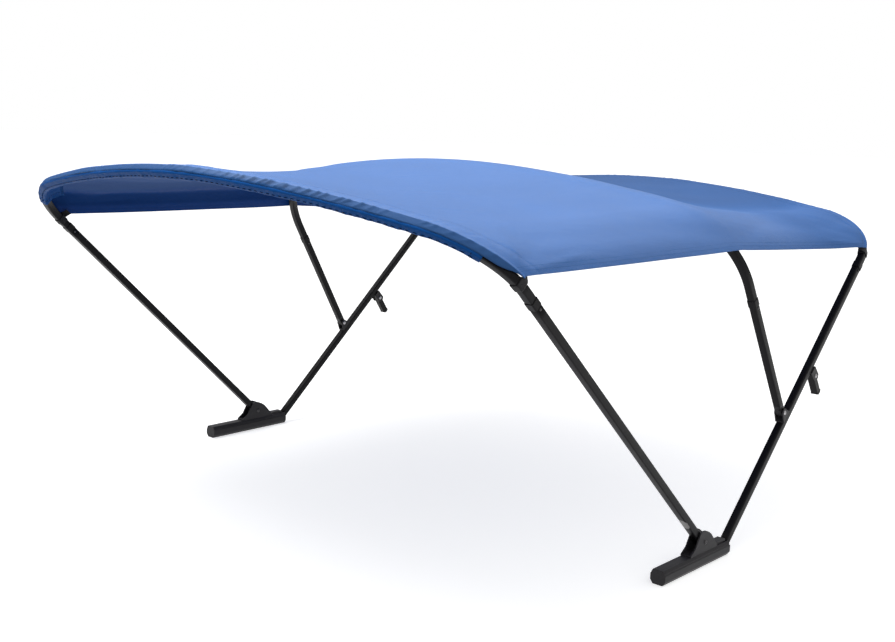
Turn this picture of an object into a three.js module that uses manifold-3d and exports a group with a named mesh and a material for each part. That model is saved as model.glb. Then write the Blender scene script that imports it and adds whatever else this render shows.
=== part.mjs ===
// Bimini top and frame: a cloth canopy stretched over three bows of square tube that stand on two base rails.
// Millimetres, +Z up. +X is the right side, the front bow leans toward -Y.
// Each bow is drawn in its own tilted plane: x sideways, y up along the bow, z square to the plane.
import * as THREE from 'three';
import { mergeVertices } from 'three/addons/utils/BufferGeometryUtils.js';
import Module from 'manifold-3d';

const wasm = await Module();
wasm.setup();

// Driving dimensions
const gap = 0.3; // between pieces that are fitted together
const halfSpan = 1280; // legs' centre plane, sideways, at leanHeight
const leanHeight = 83;
const lean = 0.0211; // each side frame leans in by this much per millimetre of height
const tube = 30; // side of the square tube
const tubeChamfer = 3; // flat that stands for the rounded corner of a tube
const slotClear = 2; // between a leg and the cheeks beside it
const cheek = 5; // thickness of a bracket's cheek
const boltRadius = 5;
const archSteps = 96;
const girthSamples = 600; // points along half a bow when its girth is measured
const rail = { length: 455, halfWidth: 31, topHalf: 21, bottomHalf: 20, height: 55, chamfer: 15 };
const groove = { low: 39, high: 47, depth: 4, lip: 5 };
const notch = { width: 34, deep: 30, floor: 19 };
const legEnd = { A: 16, B: 12 }; // how far a leg's end lies below its foot point
const collar = { length: 30, below: 20, air: 0.6, out: 2 };
const rivet = { radius: 2.4, below: 30, head: 5, height: 2.4 };
const eye = { top: 19, width: 26 };

// Bows: foot point, tilt of the plane, profile of the arch and the height of the joint with the leg
const bowA = {
  foot: [276, 94], angle: 136.6, crown: 1871, drop: 143, power: 1.8, bend: 185, joint: 1425, sewn: 1,
};
const bowB = {
  foot: [460, 43], angle: 43.3, crown: 1821, drop: 126, power: 1.8, bend: 175, joint: 1425, sewn: -1,
};
const bowC = {
  foot: [856, 480], angle: 120.5, crown: 1056, drop: 112, power: 1.85, bend: 278, joint: 545, sewn: 1,
};
const shoulder = 1000; // half width of the flat crown of each bow
const bendPull = 0.6; // how tightly the shoulder turns into the leg

// Cloth
const clothThick = 1.8;
const hemThick = 2.4;
const pocketThick = 1.2;
const pocketLift = 1.9; // air between the tube and the pocket
const clothLift = 4.9; // from a front or rear tube's face to the middle of the canopy sheet
const ridgeLift = 3.6; // the same over the middle bow
const turnDown = 16; // hem of the canopy over the front and rear crease
const creaseRound = 6; // rounding of that crease
const pocketHalf = 1190; // half length of the pockets
const pocketDepth = 46; // how far a pocket reaches back under the canopy
const pocketSeam = 16; // width of its seam there
const panelLength = { A: 1390, B: 1480 }; // from the front or rear crease to the middle bow
const sagAC = 42;
const sagCB = 45;
const sagFade = 0.62; // share of the half girth where a panel's sag begins to fade
const sagLeft = 0.2; // share of the sag left at the side hem
const hemHeight = { A: 1139, C: 1129, B: 1078 };
const hemSkew = 13; // the left hem hangs this much lower and the right one higher
const cornerPull = 22; // how far the straps pull the canopy's corners off the bow
const pullStart = 0.9; // share of the half girth where that pull begins
const hemStart = 0.978; // share of the half girth where the side hem begins
const strap = { width: 24, thick: 1.4, air: 1, tail: 46, inward: 9 };

// Pivots and fittings, from each bow's foot
const earPivot = { y: 280, z: 93 };
const ear = {
  front: 184, rear: 370, foot: 6, slotHeight: 100,
  slope: [[322, 114], [303, 127], [279, 137], [262, 139], [246, 134], [214, 82]],
};
const heel = { rear: 444, top: 67, lap: 12, land: 14, rake: 8, lip: 3 };
const bolt = { head: 8.5, height: 4, smallHead: 8, smallHeight: 3.6 };
const clevisAt = { along: 590, out: 45, radius: 17, halfBase: 30, air: 1.2 };
const stubAt = { along: 857, out: 53, length: 101, above: 15, tilt: 9, air: 1.3, cheek: 3.6, halfBase: 20 };
const stubRim = [[20, -14], [7, -22], [-12, -20], [-19, -10]]; // bracket's edge, from the stub's pivot
const stubPlug = { length: 12, over: 0.6, nose: 7, noseIn: 8 };
const strapAt = { A: 1487, B: 1473 };

const black = { color: 0x2b2a2d, roughness: 0.42, metalness: 0.35 };
const colours = {
  canopy: { color: 0x4f7fc4, roughness: 0.85, metalness: 0 },
  pocket: { color: 0x335f9c, roughness: 0.88, metalness: 0 },
  strap: { color: 0x1c1b1e, roughness: 0.9, metalness: 0 },
  tube: black,
  bracket: { color: 0x3a393c, roughness: 0.5, metalness: 0.2 },
  plug: { color: 0x1f1e20, roughness: 0.6, metalness: 0 },
  bolt: { color: 0x6d6b70, roughness: 0.35, metalness: 0.8 },
};

const part = new THREE.Group();
part.name = 'bimini_top_and_frame';
const body = new THREE.Group();
part.add(body);

function node(name, colour, geometry, parent) {
  const mesh = new THREE.Mesh(geometry, new THREE.MeshStandardMaterial(colours[colour]));
  mesh.name = name;
  parent.add(mesh);
  return mesh;
}

// Solid tools
function toSolid(geometry) {
  const plain = geometry.clone();
  plain.deleteAttribute('normal');
  plain.deleteAttribute('uv');
  const merged = mergeVertices(plain, 1e-3);
  const vertProperties = new Float32Array(merged.attributes.position.array);
  const triVerts = new Uint32Array(merged.index.array);
  return new wasm.Manifold(new wasm.Mesh({ numProp: 3, vertProperties, triVerts }));
}

function toGeometry(solid) {
  const mesh = solid.getMesh();
  const geometry = new THREE.BufferGeometry();
  geometry.setAttribute('position', new THREE.BufferAttribute(new Float32Array(mesh.vertProperties), 3));
  geometry.setIndex(new THREE.BufferAttribute(new Uint32Array(mesh.triVerts), 1));
  const flat = geometry.toNonIndexed();
  flat.computeVertexNormals();
  return flat;
}

function add(...geometries) {
  return toGeometry(geometries.map(toSolid).reduce((all, next) => all.add(next)));
}

function cut(geometry, ...tools) {
  return toGeometry(tools.map(toSolid).reduce((left, tool) => left.subtract(tool), toSolid(geometry)));
}

function block(width, depth, height, x = 0, y = 0, z = 0) {
  return new THREE.BoxGeometry(width, depth, height).translate(x, y, z);
}

// A round bar along X
function bar(radius, length, x, y, z, sides = 20) {
  return new THREE.CylinderGeometry(radius, radius, length, sides).rotateZ(Math.PI / 2).translate(x, y, z);
}

// A flat shape in the y-z plane, extruded across X and centred
function across(points, width) {
  const shape = new THREE.Shape(points.map(([y, z]) => new THREE.Vector2(y, z)));
  const geometry = new THREE.ExtrudeGeometry(shape, { depth: width, bevelEnabled: false });
  return geometry.translate(0, 0, -width / 2).rotateX(Math.PI / 2).rotateZ(Math.PI / 2);
}

// A square with its corners cut by the same flat on both sides
function tubeSection(side, chamfer) {
  const half = side / 2;
  const near = half - chamfer;
  const corner = [[half, near], [near, half], [-near, half], [-half, near]];
  const points = corner.concat(corner.map(([x, y]) => [-x, -y]));
  return new THREE.Shape(points.map(([x, y]) => new THREE.Vector2(x, y)));
}

// A straight square tube along Y from start to end
function straightTube(start, end) {
  const options = { depth: end - start, bevelEnabled: false };
  const geometry = new THREE.ExtrudeGeometry(tubeSection(tube, tubeChamfer), options);
  return geometry.rotateX(-Math.PI / 2).translate(0, start, 0);
}

// A domed bolt or rivet along X, with a head at both ends
function fastener(radius, length, headRadius, headHeight) {
  const half = length / 2;
  const profile = [
    [0, -half - headHeight], [headRadius * 0.7, -half - headHeight * 0.75],
    [headRadius, -half], [radius, -half], [radius, half], [headRadius, half],
    [headRadius * 0.7, half + headHeight * 0.75], [0, half + headHeight],
  ];
  const points = profile.map(([r, y]) => new THREE.Vector2(r, y));
  return new THREE.LatheGeometry(points, 12).rotateZ(-Math.PI / 2);
}

// Bows
const tiltOf = (bow) => THREE.MathUtils.degToRad(bow.angle);

// Place and turn of a bow's plane in the part
function planeMatrix(bow) {
  const matrix = new THREE.Matrix4().makeRotationX(tiltOf(bow));
  return matrix.setPosition(0, bow.foot[0], bow.foot[1]);
}

function bowPlane(bow) {
  const group = new THREE.Group();
  group.position.set(0, bow.foot[0], bow.foot[1]);
  group.rotation.x = tiltOf(bow);
  body.add(group);
  return group;
}

// A point of the part, given by y and z, as [along, out] in a bow's plane
function inPlane(bow, y, z) {
  const local = new THREE.Vector3(0, y, z).applyMatrix4(planeMatrix(bow).invert());
  return [local.y, local.z];
}

// Sideways place of a leg's centre at the distance s up its bow
function legX(bow, s) {
  return halfSpan - lean * (bow.foot[1] + s * Math.sin(tiltOf(bow)) - leanHeight);
}

// Half of a bow's centre line, from the crown down: crown curve, bend, then the straight leg
function halfProfile(bow) {
  const crownSteps = 14;
  const bendSteps = 16;
  const points = [];
  for (let i = 0; i < crownSteps; i += 1) {
    const x = (shoulder * i) / crownSteps;
    points.push(new THREE.Vector2(x, bow.crown - bow.drop * (x / shoulder) ** bow.power));
  }
  const start = new THREE.Vector2(shoulder, bow.crown - bow.drop);
  const slope = (-bow.drop * bow.power) / shoulder;
  const meet = new THREE.Vector2(halfSpan, 0);
  for (let i = 0; i < 4; i += 1) {
    meet.y = start.y + slope * (meet.x - start.x);
    meet.x = legX(bow, meet.y);
  }
  const foot = meet.y - bow.bend;
  const end = new THREE.Vector2(legX(bow, foot), foot);
  const pull1 = start.clone().lerp(meet, bendPull);
  const pull2 = end.clone().lerp(meet, bendPull);
  points.push(...new THREE.CubicBezierCurve(start, pull1, pull2, end).getPoints(bendSteps));
  return points.concat([new THREE.Vector2(legX(bow, bow.joint), bow.joint)]);
}

// Centre line of a whole arch, from the left joint to the right one
function archLine(bow) {
  const half = halfProfile(bow);
  const left = half.slice(1).reverse().map((p) => new THREE.Vector3(-p.x, p.y, 0));
  return new THREE.CatmullRomCurve3(left.concat(half.map((p) => new THREE.Vector3(p.x, p.y, 0))));
}

function makeArch(bow, letter, plane) {
  const options = { steps: archSteps, extrudePath: archLine(bow), bevelEnabled: false };
  const geometry = new THREE.ExtrudeGeometry(tubeSection(tube, tubeChamfer), options);
  node(`arch_${letter}`, 'tube', geometry, plane);
}

// A leg of one side with its joint collar and rivet; holes are [along, out, radius]
function makeLeg(bow, letter, side, start, plane, holes) {
  const sign = side === 'right' ? 1 : -1;
  const group = new THREE.Group();
  group.position.x = sign * legX(bow, 0);
  group.rotation.z = sign * lean * Math.sin(tiltOf(bow));
  plane.add(group);
  const rivetAt = bow.joint - rivet.below;
  const drill = holes.map(([along, out, radius]) => bar(radius, tube * 2, 0, along, out));
  drill.push(bar(rivet.radius + gap, tube * 2, 0, rivetAt, 0, 16));
  node(`leg_${letter}_${side}`, 'tube', cut(straightTube(start, bow.joint - gap), ...drill), group);
  const shape = tubeSection(tube + 2 * collar.out, tubeChamfer + collar.out / 2);
  shape.holes.push(tubeSection(tube + 2 * collar.air, tubeChamfer + collar.air / 2));
  const options = { depth: collar.length, bevelEnabled: false };
  const ring = new THREE.ExtrudeGeometry(shape, options).rotateX(-Math.PI / 2);
  node(`collar_${letter}_${side}`, 'plug', ring, group).position.y = bow.joint - collar.below;
  const pin = fastener(rivet.radius, tube + 2 * gap, rivet.head, rivet.height);
  node(`rivet_${letter}_${side}`, 'bolt', pin, group).position.y = rivetAt;
  return group;
}

// Base rail: eight-sided section with a lengthwise groove each side, notched for the rear leg's foot
function makeRail(side, group) {
  const { length, halfWidth, topHalf, bottomHalf, height, chamfer } = rail;
  const right = [
    [bottomHalf, 0], [halfWidth, chamfer], [halfWidth, groove.low], [halfWidth - groove.depth, groove.low + 2],
    [halfWidth - groove.depth, groove.high - 1], [topHalf + groove.lip, groove.high], [topHalf, height],
  ];
  const left = right.map(([x, z]) => [-x, z]).reverse();
  const shape = new THREE.Shape(right.concat(left).map(([x, z]) => new THREE.Vector2(x, z)));
  const bar8 = new THREE.ExtrudeGeometry(shape, { depth: length, bevelEnabled: false });
  const whole = bar8.rotateX(Math.PI / 2).translate(0, length, 0);
  const { width, deep, floor } = notch;
  const slot = block(width, 2 * deep, height, 0, length, floor + height / 2);
  node(`rail_${side}`, 'bracket', cut(whole, slot), group);
}

// Ear bracket: two cheeks on one foot with the front leg between them, and a low heel at the rear
function makeEar(side, group) {
  const { front, rear, foot, slotHeight, slope } = ear;
  const base = rail.height + gap;
  const outer = tube + 2 * (slotClear + cheek);
  const outline = [
    [front, base], [rear, base], [rear, base + foot], ...slope, [front, base + foot],
  ];
  const inner = tube + 2 * slotClear;
  const slot = block(inner, 2 * rear, slotHeight, 0, (front + rear) / 2, base + foot + slotHeight / 2);
  const hole = bar(boltRadius + gap, outer * 2, 0, earPivot.y, earPivot.z);
  const heelShape = [
    [rear - heel.lap, base], [heel.rear, base], [heel.rear - heel.lip, base + heel.lip],
    [heel.rear - heel.rake, heel.top], [rear + heel.land, heel.top], [rear - heel.lap, base + foot],
  ];
  const cheeks = cut(across(outline, outer), slot, hole);
  node(`ear_${side}`, 'bracket', add(cheeks, across(heelShape, tube)), group);
  const pin = fastener(boltRadius, outer + 2 * gap, bolt.head, bolt.height);
  node(`ear_bolt_${side}`, 'bolt', pin, group).position.set(0, earPivot.y, earPivot.z);
}

// Outline of a round-ended lug on a base line, in [along, out], for a bracket's cheek
function lugOutline(low, high, level, centre, radius) {
  const points = [[low, level], [high, level]];
  const steps = 10;
  for (let i = 0; i <= steps; i += 1) {
    const angle = (Math.PI * i) / steps;
    points.push([centre[0] + radius * Math.cos(angle), centre[1] + radius * Math.sin(angle)]);
  }
  return points;
}

// Clevis on the rear leg that holds the middle leg's eye end
function makeClevis(side, group) {
  const level = tube / 2 + gap;
  const centre = [clevisAt.along, clevisAt.out];
  const inner = eye.width + 2 * clevisAt.air;
  const outer = inner + 2 * cheek;
  const { halfBase, radius } = clevisAt;
  const outline = lugOutline(centre[0] - halfBase, centre[0] + halfBase, level, centre, radius);
  const slot = block(inner, 200, 100, 0, centre[0], level + cheek + 50);
  const hole = bar(boltRadius + gap, outer * 2, 0, centre[0], centre[1]);
  node(`clevis_${side}`, 'bracket', cut(across(outline, outer), slot, hole), group);
  const pin = fastener(boltRadius, outer + 2 * gap, bolt.smallHead, bolt.smallHeight);
  node(`clevis_bolt_${side}`, 'bolt', pin, group).position.set(0, centre[0], centre[1]);
}

// Eye end: a plug with a round end, under the middle leg's tube and drilled for the clevis bolt
function makeEye(side, group, centre) {
  const steps = 10;
  const radius = tube / 2 - 0.5;
  const outline = [[eye.top, radius], [eye.top, -radius]];
  for (let i = 0; i <= steps; i += 1) {
    const angle = -Math.PI / 2 - (Math.PI * i) / steps;
    outline.push([centre[0] + radius * Math.cos(angle), centre[1] + radius * Math.sin(angle)]);
  }
  const hole = bar(boltRadius + 2 * gap, tube * 2, 0, centre[0], centre[1]);
  node(`eye_${side}`, 'plug', cut(across(outline, eye.width), hole), group);
}

// Bracket on the rear leg's lower face and the short stub that pivots in it
function makeStub(side, group) {
  const { along, out, length, above, tilt } = stubAt;
  const level = -tube / 2 - gap;
  const inner = tube + 2 * stubAt.air;
  const outer = inner + 2 * stubAt.cheek;
  const outline = [
    [along - stubAt.halfBase, level], [along + stubAt.halfBase, level],
    ...stubRim.map(([a, b]) => [along + a, b - out]),
  ];
  const slot = block(inner, 200, 100, 0, along, level - stubAt.cheek - 50);
  const hole = bar(boltRadius + gap, outer * 2, 0, along, -out);
  node(`stub_bracket_${side}`, 'bracket', cut(across(outline, outer), slot, hole), group);
  const pin = fastener(boltRadius, outer + 2 * gap, bolt.smallHead, bolt.smallHeight);
  node(`stub_bolt_${side}`, 'bolt', pin, group).position.set(0, along, -out);
  const arm = new THREE.Group();
  arm.position.set(0, along, -out);
  arm.rotation.x = -THREE.MathUtils.degToRad(90 + tilt);
  group.add(arm);
  const end = length - stubPlug.length;
  const bored = cut(straightTube(-above, end), bar(boltRadius + gap, tube * 2, 0, 0, 0));
  node(`stub_${side}`, 'tube', bored, arm);
  const half = tube / 2 + stubPlug.over;
  const { nose, noseIn } = stubPlug;
  const plugShape = [
    [end + gap, half], [end + gap, -half], [length - nose, -half], [length, noseIn - half],
    [length, half - noseIn], [length - nose, half],
  ];
  node(`stub_plug_${side}`, 'plug', across(plugShape, 2 * half), arm);
}

// Cloth
// Columns run across the canopy at these shares of each bow's half girth, closer together in the bends
function columnShares() {
  const shares = [];
  const flat = 0.74;
  const flatSteps = 7;
  const bendSteps = 10;
  for (let i = 0; i < flatSteps; i += 1) shares.push((flat * i) / flatSteps);
  for (let i = 0; i <= bendSteps; i += 1) shares.push(flat + ((hemStart - flat) * i) / bendSteps);
  return shares.concat([hemStart + 0.004, 1]);
}

const smooth = (t) => THREE.MathUtils.smoothstep(t, 0, 1);

// Points of a bow's centre line under each column of one side, with the outward direction in its plane
function clothColumns(bow, sign, hem, lift, pull) {
  const half = halfProfile(bow);
  const curve = new THREE.CatmullRomCurve3(half.map((p) => new THREE.Vector3(p.x, p.y, 0)));
  const dense = curve.getSpacedPoints(girthSamples);
  const raised = (lift + pull) * Math.abs(Math.cos(tiltOf(bow)));
  const zAt = (p) => bow.foot[1] + p.y * Math.sin(tiltOf(bow)) + raised;
  let last = dense.findIndex((p) => p.x > shoulder && zAt(p) < hem);
  if (last < 0) last = dense.length - 1;
  const girth = [0];
  for (let i = 1; i <= last; i += 1) girth.push(girth[i - 1] + dense[i].distanceTo(dense[i - 1]));
  const total = girth[last];
  return columnShares().map((share) => {
    const at = Math.min(girth.findIndex((g) => g >= share * total - 1e-6), last);
    const before = dense[Math.max(at - 1, 0)];
    const after = dense[Math.min(at + 1, dense.length - 1)];
    const along = after.clone().sub(before).normalize();
    return { x: sign * dense[at].x, s: dense[at].y, nx: -sign * along.y, ns: along.x, share };
  });
}

// All columns of a bow, from the left hem to the right hem
function bowColumns(bow, letter, lift) {
  const pull = letter === 'C' ? 0 : cornerPull;
  const right = clothColumns(bow, 1, hemHeight[letter] + hemSkew, lift, pull);
  const left = clothColumns(bow, -1, hemHeight[letter] - hemSkew, lift, pull);
  left[0].nx = 0;
  return left.slice(1).reverse().concat(right).map((c) => {
    const reach = pull * smooth((c.share - pullStart) / (1 - pullStart));
    return { ...c, reach };
  });
}

// Point of the part beside a bow: back is how far behind the bow's plane, out how far off its tube's middle
function beside(bow, column, back, out) {
  const away = bow.sewn * -(back + column.reach * (back > 0 ? 1 : 0.6));
  const local = new THREE.Vector3(column.x + column.nx * out, column.s + column.ns * out, away);
  return local.applyMatrix4(planeMatrix(bow));
}

const liftAB = tube / 2 + clothLift;
const liftC = tube / 2 + ridgeLift;
const columns = {
  A: bowColumns(bowA, 'A', liftAB),
  B: bowColumns(bowB, 'B', liftAB),
  C: bowColumns(bowC, 'C', liftC),
};

// Middle of the canopy sheet at column j: panel AC or CB, t from 0 at the first bow to 1 at the second
function canopyPoint(j, panel, t) {
  const crease = liftAB - creaseRound;
  const a = beside(bowA, columns.A[j], liftAB, crease);
  const c = beside(bowC, columns.C[j], tube / 2, liftC);
  const b = beside(bowB, columns.B[j], liftAB, crease);
  const start = panel === 'AC' ? a : c;
  const end = panel === 'AC' ? c : b;
  const point = start.clone().lerp(end, t);
  const column = columns.C[j];
  const inward = new THREE.Vector3(-column.nx, 0, -column.ns * Math.sin(tiltOf(bowC))).normalize();
  const amount = panel === 'AC' ? sagAC : sagCB;
  const tight = 1 - (1 - sagLeft) * smooth((column.share - sagFade) / (1 - sagFade));
  return point.addScaledVector(inward, amount * tight * 4 * t * (1 - t));
}

// A closed sheet from rows of middle points, with a thickness at each point
function sheet(rows, thickAt) {
  const rowCount = rows.length;
  const size = rows[0].length;
  const top = [];
  const bottom = [];
  for (let i = 0; i < rowCount; i += 1) {
    for (let j = 0; j < size; j += 1) {
      const du = rows[i][Math.min(j + 1, size - 1)].clone().sub(rows[i][Math.max(j - 1, 0)]);
      const dv = rows[Math.min(i + 1, rowCount - 1)][j].clone().sub(rows[Math.max(i - 1, 0)][j]);
      const normal = du.cross(dv).normalize().multiplyScalar(thickAt(i, j) / 2);
      top.push(rows[i][j].clone().add(normal));
      bottom.push(rows[i][j].clone().sub(normal));
    }
  }
  const points = top.concat(bottom);
  const under = top.length;
  const at = (i, j) => i * size + j;
  const index = [];
  const quad = (a, b, c, d) => index.push(a, b, c, a, c, d);
  for (let i = 0; i < rowCount - 1; i += 1) {
    for (let j = 0; j < size - 1; j += 1) {
      const [a, b, c, d] = [at(i, j), at(i, j + 1), at(i + 1, j + 1), at(i + 1, j)];
      quad(a, b, c, d);
      quad(under + d, under + c, under + b, under + a);
    }
  }
  const edge = (a, b) => quad(b, a, under + a, under + b);
  for (let j = 0; j < size - 1; j += 1) {
    edge(at(0, j), at(0, j + 1));
    edge(at(rowCount - 1, j + 1), at(rowCount - 1, j));
  }
  for (let i = 0; i < rowCount - 1; i += 1) {
    edge(at(i + 1, 0), at(i, 0));
    edge(at(i, size - 1), at(i + 1, size - 1));
  }
  const geometry = new THREE.BufferGeometry().setFromPoints(points);
  geometry.setIndex(index);
  geometry.computeVertexNormals();
  return geometry;
}

// Canopy: turned-down front hem, front panel, soft ridge over the middle bow, rear panel, rear hem
function makeCanopy() {
  const panelSteps = 10;
  const ridge = 0.055; // share of a panel that the ridge over the middle bow takes
  const turn = creaseRound;
  const hemRows = [
    [liftAB - turnDown, liftAB], [liftAB - turn, liftAB], [liftAB - turn * 0.3, liftAB - turn * 0.3],
  ];
  const size = columns.A.length;
  const row = (make) => Array.from({ length: size }, (_, j) => make(j));
  const rows = hemRows.map(([back, out]) => row((j) => beside(bowA, columns.A[j], back, out)));
  for (let i = 0; i < panelSteps; i += 1) {
    rows.push(row((j) => canopyPoint(j, 'AC', (i / panelSteps) * (1 - ridge))));
  }
  for (const t of [0, 0.25, 0.5, 0.75, 1]) {
    rows.push(row((j) => {
      const from = canopyPoint(j, 'AC', 1 - ridge);
      const to = canopyPoint(j, 'CB', ridge);
      const crest = canopyPoint(j, 'CB', 0);
      const pull = crest.clone().multiplyScalar(2).sub(from.clone().add(to).multiplyScalar(0.5));
      return new THREE.QuadraticBezierCurve3(from, pull, to).getPoint(t);
    }));
  }
  for (let i = 1; i <= panelSteps; i += 1) {
    rows.push(row((j) => canopyPoint(j, 'CB', ridge + (i / panelSteps) * (1 - ridge))));
  }
  hemRows.reverse().forEach(([back, out]) => rows.push(row((j) => beside(bowB, columns.B[j], back, out))));
  const thickAt = (i, j) => {
    const side = columns.A[j].share > hemStart + 0.002;
    return side || i < 3 || i > rows.length - 4 ? hemThick : clothThick;
  };
  node('canopy', 'canopy', sheet(rows, thickAt), body);
}

// Pocket under the front or rear edge: from the crease round the tube and back to the canopy's underside
function makePocket(name, bow, letter) {
  const m = tube / 2 + pocketLift + pocketThick / 2;
  const round = creaseRound;
  const near = m - round * 0.3;
  const wrap = [
    [m - round, m], [m / 3, m], [-m / 3, m], [-m + round, m], [-near, near], [-m, m - round], [-m, -m + round],
    [-near, -near], [-m + round, -m], [0, -m - 0.4], [m - round, -m - 0.6], [m + 1.5, -m + 1.5],
  ];
  const under = clothThick / 2 + 0.6 + pocketThick / 2;
  const picked = columns[letter].map((c, j) => [c, j]).filter(([c]) => Math.abs(c.x) <= pocketHalf);
  const rows = wrap.map(([back, out]) => picked.map(([c]) => beside(bow, { ...c, reach: 0 }, back, out)));
  for (const reach of [pocketDepth, pocketDepth + pocketSeam]) {
    rows.push(picked.map(([, j]) => {
      const t = reach / panelLength[letter];
      const sample = (column, shift) => {
        const at = (letter === 'A' ? 0 : 1) + (letter === 'A' ? 1 : -1) * (t + shift);
        return canopyPoint(column, letter === 'A' ? 'AC' : 'CB', at);
      };
      const du = sample(j + 1, 0).sub(sample(j - 1, 0));
      const dv = sample(j, 0.01).sub(sample(j, 0)).multiplyScalar(letter === 'A' ? 1 : -1);
      return sample(j, 0).addScaledVector(du.cross(dv).normalize(), -under);
    }));
  }
  node(name, 'pocket', sheet(letter === 'A' ? rows.reverse() : rows, () => pocketThick), body);
}

// Outline of a strip of the given thickness along a line of points
function strip(points, thick) {
  const line = points.map(([x, y]) => new THREE.Vector2(x, y));
  const shifted = (sign) => line.map((p, i) => {
    const before = line[Math.max(i - 1, 0)];
    const after = line[Math.min(i + 1, line.length - 1)];
    const along = after.clone().sub(before).normalize();
    return p.clone().add(new THREE.Vector2(-along.y, along.x).multiplyScalar((sign * thick) / 2));
  });
  return new THREE.Shape(shifted(1).concat(shifted(-1).reverse()));
}

// Webbing strap: a turn round the bow's tube with a tail to the canopy's corner
function makeStrap(bow, letter, side, plane) {
  const sign = side === 'right' ? 1 : -1;
  const half = halfProfile(bow);
  const curve = new THREE.CatmullRomCurve3(half.map((p) => new THREE.Vector3(p.x, p.y, 0)));
  const dense = curve.getSpacedPoints(girthSamples);
  const level = strapAt[letter] + (sign * hemSkew) / Math.sin(tiltOf(bow));
  const at = dense.findIndex((p) => p.x > shoulder && p.y < level);
  const along = dense[at + 1].clone().sub(dense[at - 1]);
  const m = tube / 2 + strap.air + strap.thick / 2;
  const r = 4;
  const tail = -bow.sewn;
  const line = [
    [m - strap.inward, tail * strap.tail], [m, tail * m], [m, -tail * (m - r)], [m - r, -tail * m],
    [-m + r, -tail * m], [-m, -tail * (m - r)], [-m, tail * (m - r)], [-m + r, tail * m],
    [m - 2 * strap.thick, tail * m],
  ];
  const shape = strip(line.map(([x, y]) => [sign * x, y]), strap.thick);
  const options = { depth: strap.width, bevelEnabled: false };
  const geometry = new THREE.ExtrudeGeometry(shape, options).rotateX(Math.PI / 2);
  const mesh = node(`strap_${letter}_${side}`, 'strap', geometry.translate(0, strap.width / 2, 0), plane);
  mesh.position.set(sign * dense[at].x, dense[at].y, 0);
  mesh.rotation.z = -sign * Math.atan2(-along.x, -along.y);
}

// The whole part
const planes = { A: bowPlane(bowA), B: bowPlane(bowB), C: bowPlane(bowC) };
makeArch(bowA, 'A', planes.A);
makeArch(bowB, 'B', planes.B);
makeArch(bowC, 'C', planes.C);
// Place of the pivot between the middle leg and the rear leg, as [y, z]
const pivotC = [
  bowB.foot[0] + clevisAt.along * Math.cos(tiltOf(bowB)) - clevisAt.out * Math.sin(tiltOf(bowB)),
  bowB.foot[1] + clevisAt.along * Math.sin(tiltOf(bowB)) + clevisAt.out * Math.cos(tiltOf(bowB)),
];
for (const side of ['left', 'right']) {
  const sign = side === 'right' ? 1 : -1;
  const base = new THREE.Group();
  base.position.x = sign * halfSpan;
  body.add(base);
  makeRail(side, base);
  makeEar(side, base);
  const hole = inPlane(bowA, earPivot.y, earPivot.z);
  makeLeg(bowA, 'A', side, -legEnd.A, planes.A, [[hole[0], hole[1], boltRadius + gap]]);
  const legB = makeLeg(bowB, 'B', side, -legEnd.B, planes.B, []);
  makeClevis(side, legB);
  makeStub(side, legB);
  const legC = makeLeg(bowC, 'C', side, eye.top + gap, planes.C, []);
  makeEye(side, legC, inPlane(bowC, ...pivotC));
  makeStrap(bowA, 'A', side, planes.A);
  makeStrap(bowB, 'B', side, planes.B);
}
makeCanopy();
makePocket('pocket_front', bowA, 'A');
makePocket('pocket_rear', bowB, 'B');

// The origin lies under the middle of the part's box
const box = new THREE.Box3().setFromObject(part, true);
body.position.y = -(box.min.y + box.max.y) / 2;

export default part;
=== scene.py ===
"""Bimini top and frame: cloth, webbing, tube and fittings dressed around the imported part."""

import math

import bmesh
import bpy
import numpy as np
from bpy.props import FloatProperty, FloatVectorProperty, IntProperty, PointerProperty
from mathutils import Matrix, Vector


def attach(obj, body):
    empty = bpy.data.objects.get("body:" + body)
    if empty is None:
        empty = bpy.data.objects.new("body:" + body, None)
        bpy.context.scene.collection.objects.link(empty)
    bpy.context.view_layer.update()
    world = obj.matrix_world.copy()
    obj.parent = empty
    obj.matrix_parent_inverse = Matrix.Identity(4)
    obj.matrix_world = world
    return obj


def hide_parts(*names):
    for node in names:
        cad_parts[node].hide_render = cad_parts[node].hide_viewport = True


bl_info = {
    "name": "Bimini top and frame",
    "version": (1, 0, 0),
    "blender": (4, 5, 0),
    "location": "View3D > Sidebar > Bimini",
    "description": "Builds the cloth, webbing, tubes, brackets and fasteners of a three-bow bimini top",
    "category": "Object",
}

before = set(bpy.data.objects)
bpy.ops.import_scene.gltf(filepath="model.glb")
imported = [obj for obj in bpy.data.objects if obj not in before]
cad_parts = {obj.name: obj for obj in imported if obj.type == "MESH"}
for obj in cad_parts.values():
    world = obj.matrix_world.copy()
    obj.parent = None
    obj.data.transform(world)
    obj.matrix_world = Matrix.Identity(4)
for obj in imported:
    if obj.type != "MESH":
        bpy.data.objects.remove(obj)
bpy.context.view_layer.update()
SIDES = {"left": -1, "right": 1}

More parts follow.
